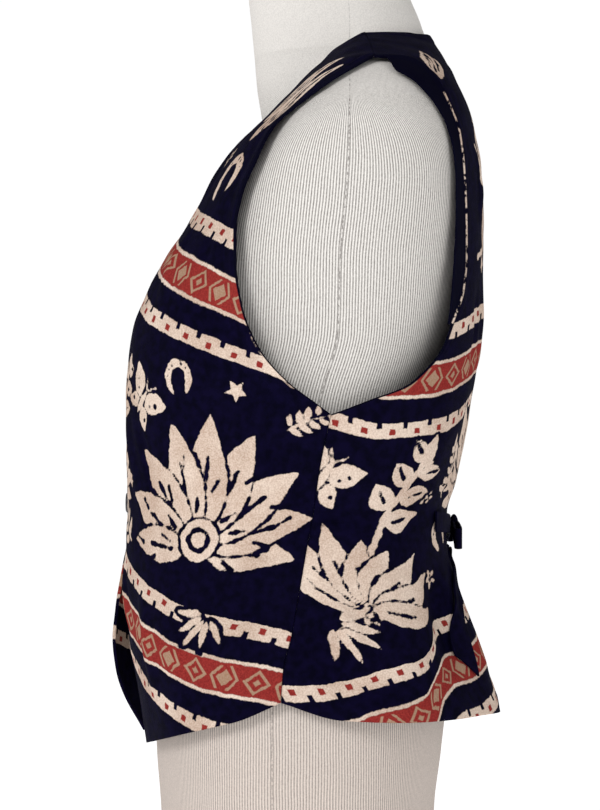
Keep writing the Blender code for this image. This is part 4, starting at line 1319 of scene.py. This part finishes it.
FACING_ROWS = 170
FACING_HOLE_ROWS = 14       # of the solids' armhole rows, those that the facing runs along
FACING_COLUMNS = 18
FACING_ROLL = 0.0016
FACING_SHARE = 0.88         # of the solid's facing, seen inside the armhole
FACING_ROLL_FADE = (0.0, 5.0)           # millimetres from the edge
FACING_TAPER = (-0.02, 0.16)            # shares of its length over which it widens from the shoulder
FACING_LEAST = 0.06
FACING_TRIM_HEIGHTS = (0.44, 0.60)      # light thread along the facing
FACING_TRIM_PLACE = 2.0     # its middle, from the edge in millimetres
FACING_TRIM_HALF = 0.7      # half its width
TIE_COLUMNS = 13
KNOT_SIZE = (0.0085, 0.0036, 0.0090)    # half its width, depth and height
KNOT_RINGS = 46
KNOT_SIDES = 64
TIE_WIDTH = 0.015
TIE_HEIGHT = 0.293
STRAP_ROWS = 120
STRAP_FROM = 46.0           # degrees round the waist
STRAP_RISE = 0.008
STRAP_NARROWING = 0.25      # of its width, at the knot
STRAP_GATHER = 0.0007
TAIL_ROWS = 110
TAIL_WIDTH = 0.75 * TIE_WIDTH
TAIL_SLANT = 0.008          # the tip's rise from its middle to a corner
TAIL_WAVE = 0.0009
RIBBON_PRINT = {"strap": 115.0, "loop": 84.0, "tail": 125.0}    # millimetres of weave along each
TAIL_LEFT = (
    (0.017, 0.278), (0.048, 0.268), (0.074, 0.25), (0.089, 0.226), (0.097, 0.198),
)
TAIL_RIGHT = (
    (0.016, 0.278), (0.034, 0.254), (0.046, 0.225), (0.05, 0.196),
)
LOOP_REACH = 0.040
LOOP_STAND = 0.0066
LOOP_MOUTH = 0.0015
LOOP_TIP_RADIUS = 0.0022
LOOP_SAG = 0.007
LOOP_ROOT_WIDTH = 0.55      # of the ribbon's width, where the knot gathers it
FRONT_CUT = ((0.300, 0.560), 0.100)     # flat size, area
BACK_CUT = ((0.520, 0.540), 0.190)


def mirror_x(points):
    return points * np.array((-1.0, 1.0, 1.0))


def surface_strip(angle, height, lift, thickness, on_right):
    """Outer and inner faces of a strip on the cloth. lift may be a grid."""
    normal = outward(angle, height)
    base = cloth_at(angle, height)
    lift = np.broadcast_to(lift, angle.shape)[..., None]
    outer = base + (lift + thickness) * normal
    inner = base + lift * normal
    return (mirror_x(outer), mirror_x(inner)) if on_right else (outer, inner)


def armhole_facing(on_right, material):
    down = np.linspace(0, 1, FACING_ROWS)
    hole = along(ARMHOLE_BACK, ((1 + (FACING_HOLE_ROWS - 1) * down) / ARMHOLE_ROWS) ** ROW_CROWDING)
    inside = along(FACING_EDGE, down**ROW_CROWDING)
    outer_angle = angle_at_depth(hole[:, 0], hole[:, 1])
    inner_angle = angle_at_depth(inside[:, 0], inside[:, 1])
    width = np.linalg.norm(cloth_at(inner_angle, inside[:, 1]) - cloth_at(outer_angle, hole[:, 1]), axis=1)
    start = (SEAM_GAP * 2 / width)[:, None]
    column = np.linspace(0, 1, FACING_COLUMNS)[None, :]
    taper = FACING_SHARE * np.maximum(smooth_step(*FACING_TAPER, down), FACING_LEAST)[:, None]
    share = start + (taper - start) * column
    angle = outer_angle[:, None] + (inner_angle - outer_angle)[:, None] * share
    height = hole[:, 1:2] + (inside[:, 1:2] - hole[:, 1:2]) * share
    from_edge = share * width[:, None] * MM
    roll = FACING_ROLL * (1 - smooth_step(*FACING_ROLL_FADE, from_edge))
    outer, inner = surface_strip(angle, height, -WALL + roll, FACING_WALL, on_right)
    low, high = FACING_TRIM_HEIGHTS
    values = plain_values(angle.shape, FAR)
    from_thread = np.abs(from_edge - FACING_TRIM_PLACE) - FACING_TRIM_HALF
    values["trim"] = np.where((height > low) & (height < high), from_thread, FAR)
    return wall_piece("armhole_band", "armhole_facing", outer, inner, values, material, on_right,
                      flip=on_right)


def tie_strap(on_right, material):
    knot_turn = SEAM_GAP / (float(cloth_at(math.pi / 2, TIE_HEIGHT)[1]) - float(axis_depth(TIE_HEIGHT)))
    share = np.linspace(0, 1, STRAP_ROWS)[:, None]
    across = np.linspace(-1, 1, TIE_COLUMNS)[None, :]
    start = math.radians(STRAP_FROM)
    angle = start + (math.pi / 2 - knot_turn - start) * share + 0 * across
    height = TIE_HEIGHT + STRAP_RISE * (1 - share) + TIE_WIDTH / 2 * (1 - STRAP_NARROWING * share) * across
    gather = STRAP_GATHER * smooth_step(0.45, 1.0, share) * (1 + np.sin(9.0 * across + 3.0 * share))
    outer, inner = surface_strip(angle, height, TIE_GAP + gather, TIE_WALL, on_right)
    values = plain_values(angle.shape, -FAR, share * RIBBON_PRINT["strap"])
    return ribbon("waist_strap", "tie_strap", outer, inner, values, material, on_right)


def tie_loop(on_right, material):
    tip = LOOP_REACH - LOOP_TIP_RADIUS
    arm_share = np.linspace(0, 1, 40)
    arm = np.stack((tip * arm_share, LOOP_MOUTH + (LOOP_TIP_RADIUS - LOOP_MOUTH) * arm_share), axis=1)
    turn = np.linspace(0, math.pi, 22)[1:-1]
    round_tip = np.stack((tip + LOOP_TIP_RADIUS * np.sin(turn), LOOP_TIP_RADIUS * np.cos(turn)), axis=1)
    line = np.concatenate((arm, round_tip, arm[::-1] * np.array((1.0, -1.0))))
    tangent = np.gradient(line, axis=0)
    sideways = unit(np.stack((tangent[:, 1], -tangent[:, 0]), axis=1)) * TIE_WALL / 2
    share = (line[:, 0] / LOOP_REACH)[:, None]
    across = np.linspace(-1, 1, TIE_COLUMNS)[None, :]
    half = TIE_WIDTH / 2 * (LOOP_ROOT_WIDTH + (1 - LOOP_ROOT_WIDTH) * share)
    start = cloth_at(math.pi / 2, TIE_HEIGHT) + np.array((KNOT_SIZE[0] + SEAM_GAP, LOOP_STAND, 0.0))
    middle = np.zeros((len(line), TIE_COLUMNS, 3))
    middle[..., 0] = line[:, 0:1]
    middle[..., 1] = line[:, 1:2]
    middle[..., 2] = -LOOP_SAG * share**1.5 + half * across
    step = np.zeros_like(middle)
    step[..., 0] = sideways[:, 0:1]
    step[..., 1] = sideways[:, 1:2]
    outer = start + middle - step
    inner = start + middle + step
    if on_right:
        outer, inner = mirror_x(outer), mirror_x(inner)
    length = np.linspace(0, RIBBON_PRINT["loop"], len(line))[:, None]
    values = plain_values(middle.shape[:2], -FAR, length)
    return ribbon("bow_loop", "tie_loop", outer, inner, values, material, on_right)


def tie_tail(on_right, material):
    share = np.linspace(0, 1, TAIL_ROWS)
    route = along(TAIL_RIGHT if on_right else TAIL_LEFT, share)
    across = np.linspace(-1, 1, TIE_COLUMNS)[None, :]
    height = route[:, 1:2] + TAIL_SLANT * smooth_step(0.75, 1.0, share)[:, None] * across
    wanted = -(route[:, 0:1] + across * TAIL_WIDTH / 2)
    angle = solve(lambda a: -cloth_at(a, height)[..., 0], 0.0, math.pi / 2, wanted)
    wave = TAIL_WAVE * (0.5 + 0.5 * np.sin(share * 21.0 + 1.0))[:, None] * across**2
    outer, inner = surface_strip(angle, height, TIE_GAP + wave, TIE_WALL, on_right)
    values = plain_values(angle.shape, -FAR, share[:, None] * RIBBON_PRINT["tail"])
    return ribbon("bow_tail", "tie_tail", outer, inner, values, material, on_right)


def knot(material):
    across, out, up = KNOT_SIZE
    normal = outward(math.pi / 2, TIE_HEIGHT)
    middle = cloth_at(math.pi / 2, TIE_HEIGHT) + (out + TIE_GAP + TIE_WALL + SEAM_GAP) * normal
    tilt = np.linspace(0, math.pi, KNOT_RINGS)[:, None]
    turn = np.linspace(0, 2 * math.pi, KNOT_SIDES, endpoint=False)[None, :]
    crease = 1 - 0.05 * (0.5 + 0.5 * np.cos(7 * turn + 2.0 * np.cos(tilt))) * np.sin(tilt)
    x = across * np.sin(tilt) * np.cos(turn) * crease
    y = out * np.sin(tilt) * np.sin(turn) * crease
    z = up * np.cos(tilt) + 0 * turn
    points = middle + np.stack((x, y, z), axis=-1)
    faces = [(a, below_a, below_b, b) for a, b, below_a, below_b in ring_corners(KNOT_RINGS, KNOT_SIDES)]
    uv = grid_uv((0.02, 0.98, 0.02, 0.98), KNOT_RINGS, KNOT_SIDES)
    made = make_mesh("bow_knot", points, faces, plain_values(x.shape, -FAR), uv, material)
    weld(made, 1e-6, at_centre=False)
    stand_for(made, "tie_knot")


BUTTON_HEIGHTS = (0.4440, 0.3995, 0.3550, 0.3105)
BUTTON_RADIUS = 0.0075
BUTTON_THICK = 0.0026
BUTTON_FACE = Curve((       # share of the radius, share of the thickness
    (0.0, 0.78), (0.5, 0.78), (0.62, 0.9), (0.78, 1.0), (0.92, 0.9), (1.0, 0.62),
))
BUTTON_UNDER = np.array(((1.0, 0.25), (0.93, 0.06), (0.75, 0.0)))   # the same, underneath
BUTTON_RINGS = 34
BUTTON_SIDES = 72
HOLE_RADIUS = 0.00095
HOLE_SPREAD = 0.0014
HOLE_DEPTH = 0.0012


def button(number, height, material):
    """A round button with a raised rim and four holes."""
    normal = outward(-math.pi / 2, height)
    seat = cloth_at(-math.pi / 2, height) + (LAP_RAISE + BUTTON_GAP) * normal
    sideways = np.array((1.0, 0.0, 0.0))
    upward = np.cross(normal, sideways)
    share = np.linspace(0.02, 1.0, BUTTON_RINGS)[:, None]
    turn = np.linspace(0, 2 * math.pi, BUTTON_SIDES, endpoint=False)
    x = BUTTON_RADIUS * share * np.cos(turn)
    y = BUTTON_RADIUS * share * np.sin(turn)
    out = BUTTON_FACE(share[:, 0]) * BUTTON_THICK + 0 * x
    hole = np.hypot(np.abs(x) - HOLE_SPREAD, np.abs(y) - HOLE_SPREAD)
    out = out - HOLE_DEPTH * (1 - smooth_step(HOLE_RADIUS * 0.7, HOLE_RADIUS, hole))
    x = np.concatenate((x, BUTTON_UNDER[:, :1] * BUTTON_RADIUS * np.cos(turn)))
    y = np.concatenate((y, BUTTON_UNDER[:, :1] * BUTTON_RADIUS * np.sin(turn)))
    out = np.concatenate((out, BUTTON_UNDER[:, 1:] * BUTTON_THICK + 0 * turn))
    points = seat + x[..., None] * sideways + y[..., None] * upward + out[..., None] * normal
    total = BUTTON_RINGS + len(BUTTON_UNDER)
    faces = [tuple(range(BUTTON_SIDES))]
    faces += [(b, a, next_a, next_b) for a, b, next_a, next_b in ring_corners(total, BUTTON_SIDES)]
    faces.append(tuple((total - 1) * BUTTON_SIDES + c for c in range(BUTTON_SIDES))[::-1])
    uv = np.stack((0.5 + x * 60 * np.linspace(1, 1.05, total)[:, None], 0.5 + y * 60), axis=-1)
    made = make_mesh(f"round_button_{number}", points, faces, {}, uv, material)
    made.data.set_sharp_from_angle(angle=math.radians(40.0))
    stand_for(made, f"button_{number}")


FORM_SEAM = Curve((         # height, depth of the form's side seam
    (0.0, -0.021), (0.117, -0.0191), (0.182, -0.0191), (0.387, 0.0137), (0.435, 0.026),
    (0.483, 0.0273), (0.551, 0.0328), (0.613, 0.0342), (0.66, 0.036), (0.722, 0.03),
))
ARCH_FROM = 0.520           # heights between which the ribs bend over to the side seam
ARCH_TO = 0.6135
ARCH_MOST = 1.8
ARCH_REACH = 75.0           # millimetres from the seam
FORM_HEIGHTS = ((0.0, 0.590, 190), (0.590, 0.664, 96), (0.664, 0.722, 44))     # from, to, rows
LOW_TONE = (0.12, 0.40)     # heights over which the hips' darker tone ends
RIBS_CLEAR = (0.15, 0.36)   # over which the ribs gain contrast
RIBS_FADE = (0.585, 0.64)   # and over which they lose it, up the neck
FAR_FROM_SEAM = 9.0


def form_mesh(material):
    """The dress form, smooth, with values for its ribs and seams."""
    heights = [np.linspace(low, high, count, endpoint=False) for low, high, count in FORM_HEIGHTS]
    heights = np.append(np.concatenate(heights), FORM_HEIGHTS[-1][1])
    upright = heights[:, None] + np.zeros(FORM_COLUMNS + 1)
    turn = np.linspace(-math.pi / 2, 3 * math.pi / 2, FORM_COLUMNS + 1)
    radius = form_radius(turn[None, :], heights[:, None])
    centre = axis_depth(heights)[:, None]
    points = np.stack((radius * np.cos(turn), centre + radius * np.sin(turn), upright), axis=-1)
    steps = np.linalg.norm(np.diff(points, axis=1), axis=2) * MM
    around = np.concatenate((np.zeros((len(heights), 1)), np.cumsum(steps, axis=1)), axis=1)
    whole = around[:, -1:]
    front_side = np.searchsorted(turn, math.pi / 2)
    seam = np.empty(len(heights))
    for r in range(len(heights)):
        seam[r] = np.interp(FORM_SEAM(heights[r])[0], points[r, :front_side, 1], around[r, :front_side])
    to_seam = np.minimum(around, whole - around) - seam[:, None]
    rise = np.clip((heights - ARCH_FROM) / (ARCH_TO - ARCH_FROM), 0.0, 1.0)[:, None]
    narrowing = np.maximum((1 - rise**3) ** 1.4, 1 / (1 + ARCH_MOST))
    values = {
        "rib": to_seam + (1 / narrowing - 1) * ARCH_REACH * np.tanh(to_seam / ARCH_REACH),
        "seam": to_seam,
        "low": 1 - smooth_step(*LOW_TONE, upright),
        "contrast": 0.78 + 0.22 * smooth_step(*RIBS_CLEAR, upright) - 0.66 * smooth_step(*RIBS_FADE, upright),
    }
    rows, columns = radius.shape
    faces = grid_faces(rows, columns)
    base = rows * columns
    middles = np.array(((0.0, float(centre[0, 0]), heights[0]), (0.0, float(centre[-1, 0]), heights[-1])))
    for c in range(columns - 1):
        faces.append((base, c + 1, c))
        faces.append((base + 1, (rows - 1) * columns + c, (rows - 1) * columns + c + 1))
    points = np.concatenate((points.reshape(-1, 3), middles))
    values = {key: np.append(value.ravel(), (FAR_FROM_SEAM,) * 2) for key, value in values.items()}
    uv = np.concatenate((grid_uv((0.01, 0.99, 0.03, 0.97), rows, columns), ((0.5, 0.99), (0.5, 0.01))))
    made = make_mesh("form_body", points, faces, values, uv, material)
    weld(made, 1e-6, same_way=True)
    made.data.set_sharp_from_angle(angle=math.radians(50.0))
    stand_for(made, "dress_form")


KEY_LIGHT = ((1.9, -1.2, 1.5), (0.0, 0.0, 0.40), 0.9, 28.0)     # place, target, size, power
FILL_LIGHT = ((1.7, 1.6, 0.9), (0.0, 0.0, 0.35), 1.6, 7.0)
WORLD_LIGHT = 0.45          # the surround's strength on the part
WORLD_SEEN = 1.02           # and as the camera sees it
FLOOR_SIZE = 9.0


def area_light(name, place, target, size, power):
    lamp = bpy.data.lights.new(name, "AREA")
    lamp.shape = "DISK"
    lamp.size = size
    lamp.energy = power
    made = bpy.data.objects.new(name, lamp)
    made.location = place
    aim = mathutils.Vector(target) - mathutils.Vector(place)
    made.rotation_euler = aim.to_track_quat("-Z", "Y").to_euler()
    bpy.context.scene.collection.objects.link(made)


def studio():
    """Pale floor, soft light, white surround and the photograph's camera."""
    bpy.ops.mesh.primitive_plane_add(size=FLOOR_SIZE, location=(0.0, 0.0, 0.0))
    floor = bpy.context.object
    floor.name = "floor"
    floor.data.materials.append(floor_material())

    area_light("key", *KEY_LIGHT)
    area_light("fill", *FILL_LIGHT)

    world = bpy.data.worlds.new("white_surround")
    world.use_nodes = True
    bpy.context.scene.world = world
    tree = world.node_tree
    seen = tree.nodes.new("ShaderNodeLightPath").outputs["Is Camera Ray"]
    strength = tree.nodes.new("ShaderNodeMapRange")
    strength.inputs["To Min"].default_value = WORLD_LIGHT
    strength.inputs["To Max"].default_value = WORLD_SEEN
    tree.links.new(seen, strength.inputs["Value"])
    background = tree.nodes["Background"]
    background.inputs["Color"].default_value = (1.0, 1.0, 1.0, 1.0)
    tree.links.new(strength.outputs[0], background.inputs["Strength"])
    bpy.context.scene.view_settings.view_transform = "Standard"

    lens = bpy.data.cameras.new("photo_camera")
    lens.lens = CAMERA_LENS
    lens.sensor_width = SENSOR
    lens.sensor_fit = "AUTO"
    camera = bpy.data.objects.new("photo_camera", lens)
    camera.location = CAMERA_PLACE
    camera.rotation_euler = (math.pi / 2, 0.0, math.pi / 2)
    bpy.context.scene.collection.objects.link(camera)
    bpy.context.scene.camera = camera


def main():
    cloth = cloth_material()
    jersey = jersey_material()
    shell = button_material()

    form_mesh(jersey)
    both_halves = [("back", on_right, None, BACK_ROWS, BACK_COLUMNS) for on_right in (False, True)]
    panels = (
        ("front_left", [("front", False, LEFT_EDGE, FRONT_ROWS, FRONT_COLUMNS)], FRONT_CUT),
        ("front_right", [("front", True, RIGHT_EDGE, FRONT_ROWS, FRONT_COLUMNS)], FRONT_CUT),
        ("back", both_halves, BACK_CUT),
    )
    for node, halves, (flat, area) in panels:
        for inside, name in ((False, "vest_" + node), (True, "lining_" + node)):
            panel = cloth_panel(name, node, halves, cloth, inside)
    for on_right in (False, True):
        facing = armhole_facing(on_right, cloth)
        strap = tie_strap(on_right, cloth)
        loop = tie_loop(on_right, cloth)
        tail = tie_tail(on_right, cloth)
    knot(cloth)
    for number, height in enumerate(BUTTON_HEIGHTS, start=1):
        button(number, height, shell)
    studio()


main()
